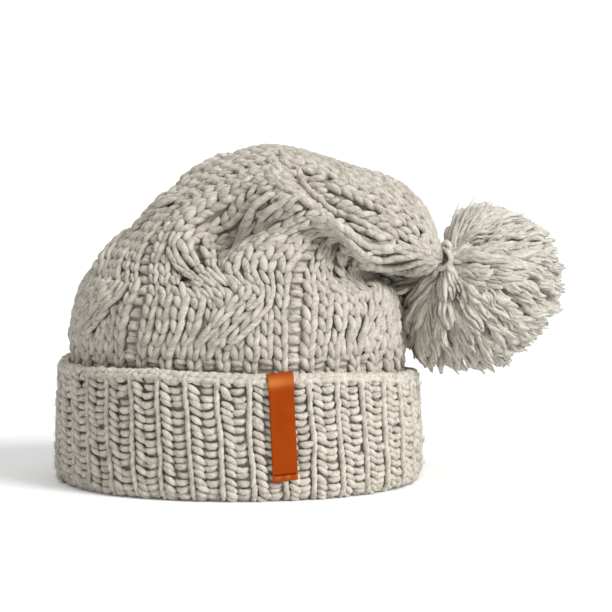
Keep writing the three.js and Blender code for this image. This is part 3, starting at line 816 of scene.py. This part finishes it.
def make_cuff_wall():
    """The cuff's body behind its stitches: one folded profile, spun round and drawn oval."""
    top, slot = CUFF_HEIGHT - 3.5, CUFF_SLOT + 0.4
    profile = [
        (cuff_out(CUFF_HEIGHT) - 3.8, top),
        (cuff_out(40.0) - 3.7, 40),
        (cuff_out(10.0) - 3.7, 9),
        (4.0, 3.4),
        (-0.6, 3.2),
        (-CUFF_INNER_LAYER + 3.6, 8),
        (-CUFF_INNER_LAYER + 3.6, CROWN_FOOT - 1.5),
        (-0.4, CROWN_FOOT - 1.5),
        (-0.4, CUFF_FOLD + 5.5),
        (slot, CUFF_FOLD + 5.5),
        (slot, top),
    ]
    body = bmesh.new()
    verts = [body.verts.new((NECK_HALF_DEPTH + out, 0, up)) for out, up in profile]
    edges = [body.edges.new((a, b)) for a, b in zip(verts, verts[1:] + verts[:1])]
    bmesh.ops.spin(
        body, geom=verts + edges, axis=(0, 0, 1), cent=(0, 0, 0), angle=2 * math.pi, steps=144,
        use_merge=True,
    )
    for vert in body.verts:
        angle = math.atan2(vert.co.y, vert.co.x)
        vert.co.x += (NECK_HALF_WIDTH - NECK_HALF_DEPTH) * math.cos(angle)
        if vert.co.z > CROWN_FOOT:
            vert.co.z -= float(edge_dip(angle) - edge_rise(angle)) * (vert.co.z / CUFF_HEIGHT) ** 2
        vert.co = vert.co * MM + HAT_PLACE
    bmesh.ops.recalc_face_normals(body, faces=body.faces)
    return finished(body, "cuff_wall")


# The leather tab

SEWN_UP = 3.8  # millimetres from the tab's end up to its sewn line
TAB_ASIDE = 1.0  # how far the soft tab has slipped to the left


def make_tab():
    """The tab: a strip with eased edges, folded over the cuff's edge, its end sewn down, with painted
    highlights marked along the bend and on the wrinkles at its end.
    """
    cosine, sine = math.cos(TAB_ANGLE), math.sin(TAB_ANGLE)
    outwards = Vector((cosine / NECK_HALF_WIDTH, sine / NECK_HALF_DEPTH, 0)).normalized()
    sideways = Vector((-outwards.y, outwards.x, 0))
    middle = Vector((NECK_HALF_WIDTH * cosine, NECK_HALF_DEPTH * sine, 0))
    edge = CUFF_HEIGHT - float(edge_dip(TAB_ANGLE))
    gap = 0.35
    slot_curve = TAB_WIDTH**2 / (8 * NECK_HALF_DEPTH)
    back = CUFF_SLOT - slot_curve - gap - TAB_THICKNESS / 2

    def front(up):
        return float(cuff_out(min(up, CUFF_HEIGHT))) + gap + TAB_THICKNESS / 2

    radius = (front(edge) - back) / 2
    lean, slant = math.tan(math.radians(TAB_LEAN)), math.tan(math.radians(TAB_END_SLANT))
    bend_top = edge + lean * TAB_WIDTH / 2 + gap + TAB_THICKNESS / 2
    bend_rise = radius * 0.62
    bend_foot = bend_top - bend_rise
    low = bend_top - TAB_LENGTH
    heights = np.concatenate([np.linspace(low, low + 6, 13)[:-1], np.linspace(low + 6, bend_foot, 36)[:-1]])
    path = [(front(up), up) for up in heights]
    for turn in np.linspace(0, math.pi, 15):
        path.append((back + radius * (1 + math.cos(turn)), bend_foot + bend_rise * math.sin(turn) ** 0.8))
    path += [(back, up) for up in np.linspace(bend_foot, bend_foot - TAB_TUCK, 8)[1:]]

    strip = bmesh.new()
    # A float on each point: how much painted highlight, in a paler colour, the leather gets there.
    painted_highlight = strip.verts.layers.float.new("painted_highlight")
    columns = 11
    grid = []
    for out, up in path:
        row = []
        past_end = up - low if out > back + radius else 99.0
        ridge = 0.16 * math.exp(-((past_end - 2.0) ** 2))
        hem = ridge - 0.2 * math.exp(-(((past_end - SEWN_UP) / 0.7) ** 2))
        # A painted highlight: paler colour along the outside of the bend.
        shine = math.exp(-(((up - bend_foot + 1.5) / 2.6) ** 2)) if out > back + radius else 0.0
        for column in range(columns):
            side = column / (columns - 1) * 2 - 1
            flare = 1 + 0.04 * float(smoothstep(edge - 12, edge, up))
            curl = 0.35 * max(-side - 0.6, 0) * float(smoothstep(low, low + 10, up))
            wrinkle = hem + 0.14 * math.sin(side * 9.0) * max(0.0, 1 - past_end / 6)
            shift = side * TAB_WIDTH / 2 * flare + (bend_top - up) * lean - TAB_ASIDE
            tilt = lean + (slant - lean) * max(0.0, 1 - past_end / 9)
            tilt += 0.055 * float(smoothstep(edge - 14, edge, up))
            rise = up + side * TAB_WIDTH / 2 * tilt
            at = middle + outwards * (out + curl + wrinkle) + sideways * shift
            vert = strip.verts.new((at.x, at.y, rise))
            # A painted highlight in stripes on the ridge and wrinkles near the end, added to the painted
            # highlight along the bend.
            end_highlight = 0.3 * math.exp(-((past_end - 2.2) ** 2)) * (0.5 + 0.5 * math.sin(side * 8.0))
            vert[painted_highlight] = end_highlight + 0.62 * shine * (0.8 + 0.2 * math.sin(side * 2.6 + 3.0))
            row.append(vert)
        grid.append(row)
    for lower, upper in zip(grid, grid[1:]):
        for a, b, c, d in zip(lower, lower[1:], upper[1:], upper):
            strip.faces.new((a, b, c, d))
    for vert in strip.verts:
        vert.co = vert.co * MM + HAT_PLACE
    made = finished(strip, "tab_leather")
    thick = made.modifiers.new("thickness", "SOLIDIFY")
    thick.thickness = TAB_THICKNESS * MM
    thick.offset = 0
    thick.use_quality_normals = True
    ease = made.modifiers.new("eased edges", "BEVEL")
    ease.width = 0.32 * MM
    ease.segments = 3
    ease.limit_method = "ANGLE"
    return made, make_tab_thread(middle, outwards, sideways, front, low, slant)


def make_tab_thread(middle, outwards, sideways, front, low, slant):
    """The sewn line across the tab's end: short stitches of waxed thread that sink into it."""
    count = 7
    spots = (np.arange(count)[:, None] + 0.5 + (ALONG_LEG - 0.5) * 0.8) / count * 2 - 1
    aside = spots * (TAB_WIDTH / 2 - 0.9)
    up = low + SEWN_UP + aside * slant * 0.7
    out = front(low + 3) + TAB_THICKNESS / 2 - 0.22 + 0.3 * np.sin(np.pi * ALONG_LEG) + 0 * aside
    shift = aside + (TAB_LENGTH - 4) * math.tan(math.radians(TAB_LEAN)) - TAB_ASIDE
    paths = np.array(middle) + out[..., None] * np.array(outwards) + shift[..., None] * np.array(sideways)
    paths[..., 2] = up
    return yarn_mesh("tab_thread", paths, np.array(outwards), 0.42, 0.3, [0.5, 0.9, 1.0, 1.0, 0.9, 0.5])


# The pompom

TIP = np.array([
    NECK_HALF_WIDTH * (SECTIONS[-1, 1] + SECTIONS[-1, 3]) / 2,
    -NECK_HALF_DEPTH * SECTIONS[-1, 6],
    CROWN_FOOT + CROWN_RISE * (SECTIONS[-1, 2] + SECTIONS[-1, 4]) / 2,
])
POMPOM_MIDDLE = np.array([NECK_HALF_WIDTH + POMPOM_SIZE[0] + 0.35, 8.0, TIP[2] - 19.0])
TIE_WAY = unit(POMPOM_MIDDLE - TIP)


def ways_round(count):
    """Directions spread evenly over a ball."""
    index = np.arange(count) + 0.5
    rise = 1 - 2 * index / count
    turn = index * np.pi * (3 - np.sqrt(5))
    flat = np.sqrt(1 - rise**2)
    return np.stack([flat * np.cos(turn), flat * np.sin(turn), rise], -1)


# The pompom's outline seen from the front: degrees round from the right, and radius
POMPOM_OUTLINE = np.array([
    [-180, 42], [-172, 47], [-148, 55.5], [-137, 57.5], [-121, 56.5], [-108, 51], [-87, 49], [-69, 43.5],
    [-52, 42.5], [-33, 41], [-5, 44.5], [19, 43.5], [39, 45], [54, 44], [67, 44], [95, 45],
    [110, 42], [118, 34], [127, 27], [151, 24], [165, 33], [180, 42],
]).T


def pompom_reach(way):
    """The pompom's radius in a direction: it droops next to the hat, is trimmed opposite, and is
    pressed in where the tail lies against it."""
    turn = np.degrees(np.arctan2(way[..., 2], way[..., 0]))
    outline = np.interp(turn, *POMPOM_OUTLINE)
    flat = np.hypot(way[..., 0], way[..., 2])
    return 1 / np.hypot(flat / outline, way[..., 1] / POMPOM_SIZE[1])


def tuft_paths(ends, way, length, bow, strands, t):
    """The strands of each tuft: they run side by side along its waving middle and meet at its tip."""
    count = len(ends)
    side = unit(np.cross(way, ends))
    rise = np.cross(side, way)
    wave = random.uniform(0, 2 * np.pi, (count, 1))
    waves = 2 * np.pi * random.uniform(1.5, 2.5, (count, 1)) * t + wave
    waving = np.sin(waves) * random.uniform(0.5, 1.5, (count, 1)) * (0.4 + 0.6 * t)
    lifting = 4 * t * (1 - t) * bow + 0.55 * np.cos(waves) * (0.3 + 0.7 * t)
    middles = (
        -(1 - t)[None, :, None] * (way * length)[:, None]
        + side[:, None] * waving[:, :, None]
        + rise[:, None] * lifting[:, :, None]
        - ends[:, None] * ((1 - t) ** 2 * 7)[None, :, None]
    )
    swell = np.interp(t, [0, 0.35, 0.75, 1], [0.7, 1.0, 1.05, 0.75])
    near_tie = smoothstep(0.0, 0.7, ends @ -TIE_WAY)[:, None]
    width = 2.2 * swell * random.uniform(0.7, 1.3, (count, 1)) * (1 + 0.5 * near_tie)
    for k in range(strands):
        turn = 2 * np.pi * k / strands + random.uniform(-0.4, 0.4, (count, 1)) + 1.3 * t
        share = random.uniform(0.45, 1.0, (count, 1)) if k else np.zeros((count, 1))
        across = width * share * np.cos(turn)
        over = 0.62 * width * share * np.sin(turn)
        slip = way * random.normal(-0.6, 1.5, (count, 1))
        yield (
            middles
            + side[:, None] * across[:, :, None]
            + rise[:, None] * over[:, :, None]
            + slip[:, None] * t[None, :, None]
        )


TUFTS = 480
TUFT_STRANDS = 8


def place_tufts():
    """The tip of each tuft, its direction from the pompom's middle and the way it lies: the tufts
    are swept away from the tie like feathers."""
    ends = unit(ways_round(TUFTS) + random.normal(0, 0.04, (TUFTS, 3)))
    near = ends @ -TIE_WAY
    away = unit(near[:, None] * ends + TIE_WAY)
    sweep = 0.85 - 0.45 * smoothstep(0.3, -0.9, near)[:, None]
    way = unit(ends * (1 - 0.55 * sweep) + away * sweep + random.normal(0, 0.14, (TUFTS, 3)))
    reach = pompom_reach(ends) * (1 + random.normal(0, 0.022, TUFTS))
    return POMPOM_MIDDLE + ends * reach[:, None], ends, way


def make_pompom_yarn():
    """The pompom's cut yarn, opened into tufts, in a front and a back half."""
    tips, ends, way = place_tufts()
    t = np.linspace(0, 1, 9)
    length = random.normal(26, 3, (len(tips), 1))
    bow = random.normal(2.0, 0.8, (len(tips), 1))
    front = ends[:, 1] < 0
    profile = [0.8, 0.95, 1.0, 1.0, 1.0, 1.0, 1.0, 0.85, 0.4]
    made = []
    for name, half in (("pompom_yarn_front", front), ("pompom_yarn_back", ~front)):
        yarn = Lengths()
        for paths in tuft_paths(ends[half], way[half], length[half], bow[half], TUFT_STRANDS, t):
            thick = np.clip(random.normal(1.25, 0.22, len(paths)), 0.75, 1.8)
            yarn.add(tips[half][:, None] + paths, ends[half][:, None], thick * 1.1, thick)
        made.append(yarn.mesh(name, profile, sides=4))
    return made


def make_wisps():
    """The longest strands of the pompom, which stand up stiff and straight beside the tail."""
    count = 44
    forward = random.normal(-3, 9, count)
    rise = 155.0 + random.normal(0, 2.6, count)
    tips = np.stack([np.linspace(125.5, 143, count), forward, rise], -1)
    roots = TIP + TIE_WAY * 9.5 + random.normal(0, 1.5, (count, 3))
    t = np.linspace(0, 1, 7)[None, :, None]
    bow = np.array([-1.0, 0, 0.6]) * np.sin(np.pi * t) + random.normal(0, 0.5, (count, 1, 3)) * np.sin(5 * t)
    paths = roots[:, None] * (1 - t) + tips[:, None] * t + bow
    profile = [0.8, 1.0, 1.0, 0.95, 0.85, 0.6, 0.18]
    return yarn_mesh("pompom_wisps", paths, unit(tips - POMPOM_MIDDLE)[:, None], 1.15, 1.05, profile, 5)


# The pompom's core, at four fifths of its size, dressed in the wall's darker wool: painted shade deep among
# the tufts.
def make_pompom_core():
    core = bmesh.new()
    bmesh.ops.create_icosphere(core, subdivisions=4, radius=1.0)
    for vert in core.verts:
        way = np.array(vert.co.normalized())
        point = POMPOM_MIDDLE + way * float(pompom_reach(way)) * 0.8
        vert.co = Vector(point) * MM + HAT_PLACE
    return finished(core, "pompom_core")


def make_fold_yarn():
    """Pompom yarn squeezed into the fold under the tail, where the pompom leans on the crown."""
    count = 26
    aside = random.uniform(79, 92, count)
    back = np.linspace(-14, 34, count) + random.normal(0, 2, count)
    tips = np.stack([aside, back, random.uniform(108, 118, count)], -1)
    roots = POMPOM_MIDDLE + (tips - POMPOM_MIDDLE) * 0.5 + random.normal(0, 2, (count, 3))
    t = np.linspace(0, 1, 6)[None, :, None]
    sway = random.normal(0, 2.2, (count, 1, 3))
    paths = roots[:, None] * (1 - t) + tips[:, None] * t + sway * np.sin(t * 5)
    return yarn_mesh("fold_yarn", paths, np.array([0.0, 0.0, 1.0]), 1.9, 1.9, [0.6, 0.9, 1.0, 1.0, 0.8, 0.4])


def make_gathers():
    """The tail's end drawn together: pleats of yarn that run over it into the tie."""
    count = 26
    wale = np.arange(count)[:, None] * WALES / count + random.normal(0, 0.5, (count, 1))
    along = np.linspace(0.885, 0.99, 6)[None, :] + random.normal(0, 0.006, (count, 1))
    face = crown_face(wale + 0 * along, along)
    ups = normals_of(crown_face, wale + 0 * along, along)
    swing = (np.arange(count) % 2)[:, None]
    out = np.array([-2.6, -1.2, -0.5, -0.6, -1.0, -1.6])[None, :] - 0.9 * swing
    paths = face + ups * out[..., None]
    into = TIP + TIE_WAY * 4 + (paths[:, -1:] - TIP) * 0.35
    paths = np.concatenate([paths, into], axis=1)
    ups = np.concatenate([ups, ups[:, -1:]], axis=1)
    return yarn_mesh("gathers", paths, ups, 1.7, 1.9, [0.3, 0.8, 1.0, 1.0, 0.95, 0.8, 0.5])


def make_tie():
    """The tie: yarn wound tightly round the gathered tip, with small loops where it is knotted."""
    side = unit(np.cross(TIE_WAY, [0, 0, 1]))
    rise = np.cross(side, TIE_WAY)
    t = np.linspace(0, 1, 73)
    angle = t * 3 * 2 * np.pi
    radius = (6.4 + 0.5 * np.sin(angle * 0.37))[:, None]
    wound = (
        TIP
        + TIE_WAY * (0.6 + 5.2 * t)[:, None]
        + side * radius * np.cos(angle)[:, None]
        + rise * radius * np.sin(angle)[:, None] * 0.85
    )
    fade = np.clip(np.minimum(t, 1 - t) * 20 + 0.2, 0, 1)
    loops = Lengths()
    turn = np.linspace(-0.15, 1.15, 9) * np.pi
    for k in range(14):
        spot = k / 14 * 2 * np.pi + random.normal(0, 0.15)
        out = side * math.cos(spot) + rise * math.sin(spot)
        middle = TIP + out * (6.0 + random.normal(0, 0.7)) + TIE_WAY * random.uniform(0.5, 6.5)
        second = unit(out + TIE_WAY * random.normal(0.4, 0.4))
        first = unit(np.cross(out, TIE_WAY) + random.normal(0, 0.5, 3))
        size = random.uniform(1.8, 2.6)
        path = middle + size * (np.cos(turn)[:, None] * first + 2.1 * np.sin(turn)[:, None] * second)
        loops.add(path[None], out, 1.7, 1.7)
    return (
        yarn_mesh("tie_yarn", wound[None], TIE_WAY, 1.6, 1.6, fade, sides=8),
        loops.mesh("tie_loops", [0.4, 0.9, 1, 1, 1, 1, 1, 0.9, 0.4]),
    )


FIBRES = 6500
FIBRE_LENGTH = 6.0


def make_knit_fibres():
    """Loose fibres that stand a little off the yarn of the crown and the front of the cuff. None
    starts under the tab."""
    wale = random.uniform(0, WALES, 5000)
    row = random.uniform(1.5, 40, 5000)
    points, ups = on_crown(wale, row)
    on_tail = along_at(wale, row) > 0.97
    points, ups = points[~on_tail], ups[~on_tail]
    aside = random.uniform(0, 348, 3000) + math.degrees(TAB_ANGLE) + 6
    down = random.uniform(-1, 78, 3000)
    cuff_points, cuff_ups = on_cuff(aside, down)
    points, ups = np.concatenate([points, cuff_points]), np.concatenate([ups, cuff_ups])
    chosen = random.integers(0, len(points), FIBRES)
    up = ups[chosen]
    start = points[chosen] - up * 0.8
    way = unit(np.cross(up, random.normal(0, 1, (FIBRES, 3))))
    t = np.linspace(0, 1, 4)[None, :, None]
    run = (way * random.uniform(0.5, 1.0, (FIBRES, 1)) * FIBRE_LENGTH)[:, None]
    lift = (up * random.uniform(0.6, 2.6, (FIBRES, 1)))[:, None]
    curl = random.normal(0, 0.9, (FIBRES, 1, 3))
    paths = start[:, None] + run * t + lift * (4 * t * (1 - 0.62 * t) * 0.6) + curl * t**2
    return yarn_mesh("knit_fibres", paths, up[:, None], 0.075, 0.075, [1.0, 1.0, 0.8, 0.4], sides=3)


# Finishes


class Wire:
    """One output of a node. The operators that are used on it add Math nodes."""

    def __init__(self, finish, socket):
        self.finish, self.socket = finish, socket

    def maths(self, operation, *values):
        return self.finish.node("Math", {"operation": operation}, dict(enumerate(values)))

    def __add__(self, other):
        return self.maths("ADD", self, other)

    def __mul__(self, other):
        return self.maths("MULTIPLY", self, other)

    __radd__ = __add__


class Finish:
    """A material whose nodes are added one by one."""

    def __init__(self, name, **constants):
        self.material = bpy.data.materials.new(name)
        self.material.use_nodes = True
        self.tree = self.material.node_tree
        self.surface = self.tree.nodes["Principled BSDF"]
        for socket, value in constants.items():
            self.surface.inputs[socket.replace("_", " ")].default_value = value

    def node(self, kind, settings, sockets, output=0):
        made = self.tree.nodes.new("ShaderNode" + kind)
        for setting, value in settings.items():
            setattr(made, setting, value)
        for socket, value in sockets.items():
            self.feed(made.inputs[socket], value)
        return Wire(self, made.outputs[output])

    def feed(self, socket, value):
        if isinstance(value, Wire):
            self.tree.links.new(value.socket, socket)
        else:
            socket.default_value = value

    def place(self):
        return self.node("TexCoord", {}, {}, output=3)

    def attribute(self, name):
        return self.node("Attribute", {"attribute_name": name}, {}, output=2)

    def noise(self, place, scale, detail, roughness):
        sockets = {"Vector": place, "Scale": scale, "Detail": detail, "Roughness": roughness}
        return self.node("TexNoise", {}, sockets)

    def blend(self, factor, first, second):
        return self.node("Mix", {"data_type": "RGBA"}, {0: factor, 6: first, 7: second}, output=2)

    def colour(self, value):
        self.feed(self.surface.inputs["Base Color"], value)

    def relief(self, height, distance, strength=1.0):
        bump = self.node("Bump", {}, {"Height": height, "Distance": distance, "Strength": strength})
        self.feed(self.surface.inputs["Normal"], bump)


def srgb(red, green, blue):
    return tuple(
        c / 12.92 if c <= 0.04045 else ((c + 0.055) / 1.055) ** 2.4
        for c in (red / 255, green / 255, blue / 255)
    ) + (1.0,)


def wool(name, light, mean, dark, plies=2.0):
    """Soft spun wool: fibres that wind along the yarn, heathered in a few close tones."""
    finish = Finish(name, Roughness=0.92, Sheen_Weight=0.25, Sheen_Roughness=0.5, Specular_IOR_Level=0.15)
    yarn = finish.node("UVMap", {"uv_map": "yarn"}, {})
    parts = finish.tree.nodes.new("ShaderNodeSeparateXYZ")
    finish.feed(parts.inputs[0], yarn)
    around, length = Wire(finish, parts.outputs[0]), Wire(finish, parts.outputs[1])
    tone = finish.attribute("tone")
    winding = around + length * 0.9
    strand = finish.node("Math", {"operation": "SINE"}, {0: winding * (2 * math.pi * plies)})
    fibres_at = finish.node("CombineXYZ", {}, {0: winding * 14.0, 1: length * 2.2, 2: tone * 40.0})
    fibres = finish.noise(fibres_at, 1.0, 3.0, 0.6)
    patches = finish.noise(finish.place(), 260.0, 3.0, 0.6)
    mottle = fibres * 0.7 + patches * 0.5 + tone * 0.12
    heather = finish.node("MapRange", {}, {"Value": mottle, "From Min": 0.48, "From Max": 0.8})
    finish.colour(finish.blend(heather, finish.blend(patches, dark, mean), light))
    finish.relief(strand * 0.18 + fibres * 0.9, 0.0007, 0.75)
    return finish.material


def inner_knit(name, colour, deep):
    """The side of the wall that shows only in gaps and inside: dull and a little rough, in the yarn's colour
    painted darker as shade for those gaps and the inside.
    """
    finish = Finish(name, Roughness=0.95, Sheen_Weight=0.1, Specular_IOR_Level=0.1)
    lumps = finish.noise(finish.place(), 320.0, 4.0, 0.7)
    finish.colour(finish.blend(lumps, deep, colour))
    finish.relief(lumps, 0.0012, 0.8)
    return finish.material


def leather(name):
    """Smooth saddle leather: fine grain, slight mottling, and a painted highlight, a paler colour, along the
    bend and on the wrinkles at the end.
    """
    finish = Finish(name, Specular_IOR_Level=0.06, Coat_Roughness=0.35, Coat_Weight=0.01)
    place = finish.place()
    mottle = finish.noise(place, 90.0, 4.0, 0.6)
    cells = {"Vector": place, "Scale": 1500.0, "Smoothness": 0.4}
    grain = finish.node("TexVoronoi", {"feature": "SMOOTH_F1"}, cells)
    creases = finish.noise(place, 700.0, 5.0, 0.65)
    painted_highlight = finish.attribute("painted_highlight")
    tan = finish.blend(mottle, srgb(140, 51, 1), srgb(157, 64, 3))
    # The pale colour is the painted highlight, laid where the tab marks it.
    finish.colour(finish.blend(painted_highlight, tan, srgb(214, 134, 70)))
    finish.feed(finish.surface.inputs["Roughness"], 0.42 + creases * 0.2)
    finish.relief(grain * 0.5 + creases * 0.6, 0.00012, 0.6)
    return finish.material


def thread(name, colour, deep):
    """Waxed sewing thread with its twist."""
    finish = Finish(name, Roughness=0.6, Specular_IOR_Level=0.2)
    yarn = finish.node("UVMap", {"uv_map": "yarn"}, {})
    twist = finish.node("TexWave", {}, {"Vector": yarn, "Scale": 12.0, "Distortion": 1.0}, output=1)
    finish.colour(finish.blend(twist, deep, colour))
    finish.relief(twist, 0.0001, 0.6)
    return finish.material


def dress(piece, finish, slot, *nodes):
    piece.data.materials.clear()
    piece.data.materials.append(finish)
    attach(piece, "root")
    if nodes:
        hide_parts(*nodes)


knit_wool = wool("oatmeal_wool", srgb(208, 202, 190), srgb(176, 169, 156), srgb(140, 132, 118))
rib_wool = wool("rib_wool", srgb(216, 210, 197), srgb(190, 183, 170), srgb(160, 152, 138))
pompom_wool = wool("pompom_wool", srgb(222, 217, 206), srgb(192, 185, 173), srgb(156, 148, 135), plies=1.0)
# The wall's wool is the yarn's colour painted darker: painted shade in the gaps between the stitches and
# inside the hat.
wall_wool_painted_shade = inner_knit("wall_wool_painted_shade", srgb(178, 170, 157), srgb(140, 132, 118))
tan_leather = leather("tan_leather")
waxed_thread = thread("waxed_thread", srgb(84, 34, 10), srgb(44, 18, 6))

dress(make_crown_wall(), wall_wool_painted_shade, "knit_yarn")
for half in make_crown_stitches():
    dress(half, knit_wool, "knit_yarn", "crown")
front_rows = int(round(CUFF_FRONT / CUFF_ROW))
all_rows = int(len(CUFF_SKIN) / 10 / CUFF_ROW)
dress(make_cuff_stitches("cuff_stitches", 0, front_rows), rib_wool, "rib_yarn", "ribbed_cuff")
dress(make_cuff_stitches("cuff_inner_stitches", front_rows, all_rows), rib_wool, "rib_yarn")
dress(make_cuff_edge(), rib_wool, "rib_yarn")
dress(make_cuff_wall(), wall_wool_painted_shade, "rib_yarn")
tab, tab_thread = make_tab()
dress(tab, tan_leather, "tan_leather", "leather_tab")
dress(tab_thread, waxed_thread, "tan_leather")
for half in make_pompom_yarn():
    dress(half, pompom_wool, "pompom_yarn", "pompom")
dress(make_wisps(), pompom_wool, "pompom_yarn")
dress(make_pompom_core(), wall_wool_painted_shade, "pompom_yarn")
tie_winding, tie_loops = make_tie()
dress(tie_winding, pompom_wool, "pompom_yarn", "pompom_tie")
dress(tie_loops, pompom_wool, "pompom_yarn")
dress(make_fold_yarn(), pompom_wool, "pompom_yarn")
dress(make_gathers(), knit_wool, "knit_yarn")
dress(make_fold_strands(), knit_wool, "knit_yarn")
dress(make_knit_fibres(), knit_wool, "knit_yarn")

# The floor, the light and the camera


def aim(thing, target):
    thing.rotation_euler = (Vector(target) - thing.location).to_track_quat("-Z", "Y").to_euler()


def make_floor():
    floor = bmesh.new()
    bmesh.ops.create_grid(floor, x_segments=1, y_segments=1, size=30)
    made = finished(floor, "floor", smooth=False)
    finish = Finish("floor_white", Roughness=0.9, Specular_IOR_Level=0.1)
    finish.colour((0.9, 0.9, 0.9, 1))
    seen = finish.node("LightPath", {}, {}, output=0)
    finish.feed(finish.surface.inputs["Emission Color"], finish.blend(seen, (0, 0, 0, 1), (1, 1, 1, 1)))
    finish.surface.inputs["Emission Strength"].default_value = 0.12
    made.data.materials.append(finish.material)
    made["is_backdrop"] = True


def make_light(name, place, spread, strength):
    """Light from far off in one direction, as soft as a wide window."""
    data = bpy.data.lights.new(name, "SUN")
    data.angle = spread
    data.energy = strength
    made = add_object(name, data)
    made.location = place
    aim(made, (0, 0, 0))


make_floor()
world = bpy.data.worlds.new("studio")
world.use_nodes = True
sky = world.node_tree.nodes["Background"].inputs["Strength"]
seen = world.node_tree.nodes.new("ShaderNodeLightPath").outputs["Is Camera Ray"]
glow = world.node_tree.nodes.new("ShaderNodeMapRange")
glow.inputs["To Min"].default_value = 0.42
glow.inputs["To Max"].default_value = 1.0
world.node_tree.links.new(seen, glow.inputs["Value"])
world.node_tree.links.new(glow.outputs["Result"], sky)
world.node_tree.nodes["Background"].inputs["Color"].default_value = (1, 1, 1, 1)
bpy.context.scene.world = world
make_light("key", (1.25, -0.95, 1.15), 0.55, 3.0)
make_light("top", (-0.2, 0.1, 1.5), 1.2, 0.75)

FRAME = 612  # pixels of the square picture's side
PIXEL = 0.57 * MM  # what one of them covers at the hat
HAT_AT = (238.5, 479)  # the pixel, from the left and the top, of the middle of the cuff's foot
SENSOR = 36
ELEVATION = math.radians(7)
DISTANCE = 6.0
aside = (FRAME / 2 - HAT_AT[0]) * PIXEL
looked_at = HAT_PLACE + Vector((aside, 0, (HAT_AT[1] - FRAME / 2) * PIXEL / math.cos(ELEVATION)))
camera_data = bpy.data.cameras.new("camera")
camera_data.sensor_width = SENSOR
camera_data.lens = SENSOR * DISTANCE / (FRAME * PIXEL)
camera = add_object("camera", camera_data)
camera.location = looked_at + DISTANCE * Vector((0, -math.cos(ELEVATION), math.sin(ELEVATION)))
aim(camera, looked_at)
bpy.context.scene.camera = camera
bpy.context.scene.view_settings.view_transform = "Standard"

[[list(corner) for corner in box] for box in (cad_box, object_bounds())]
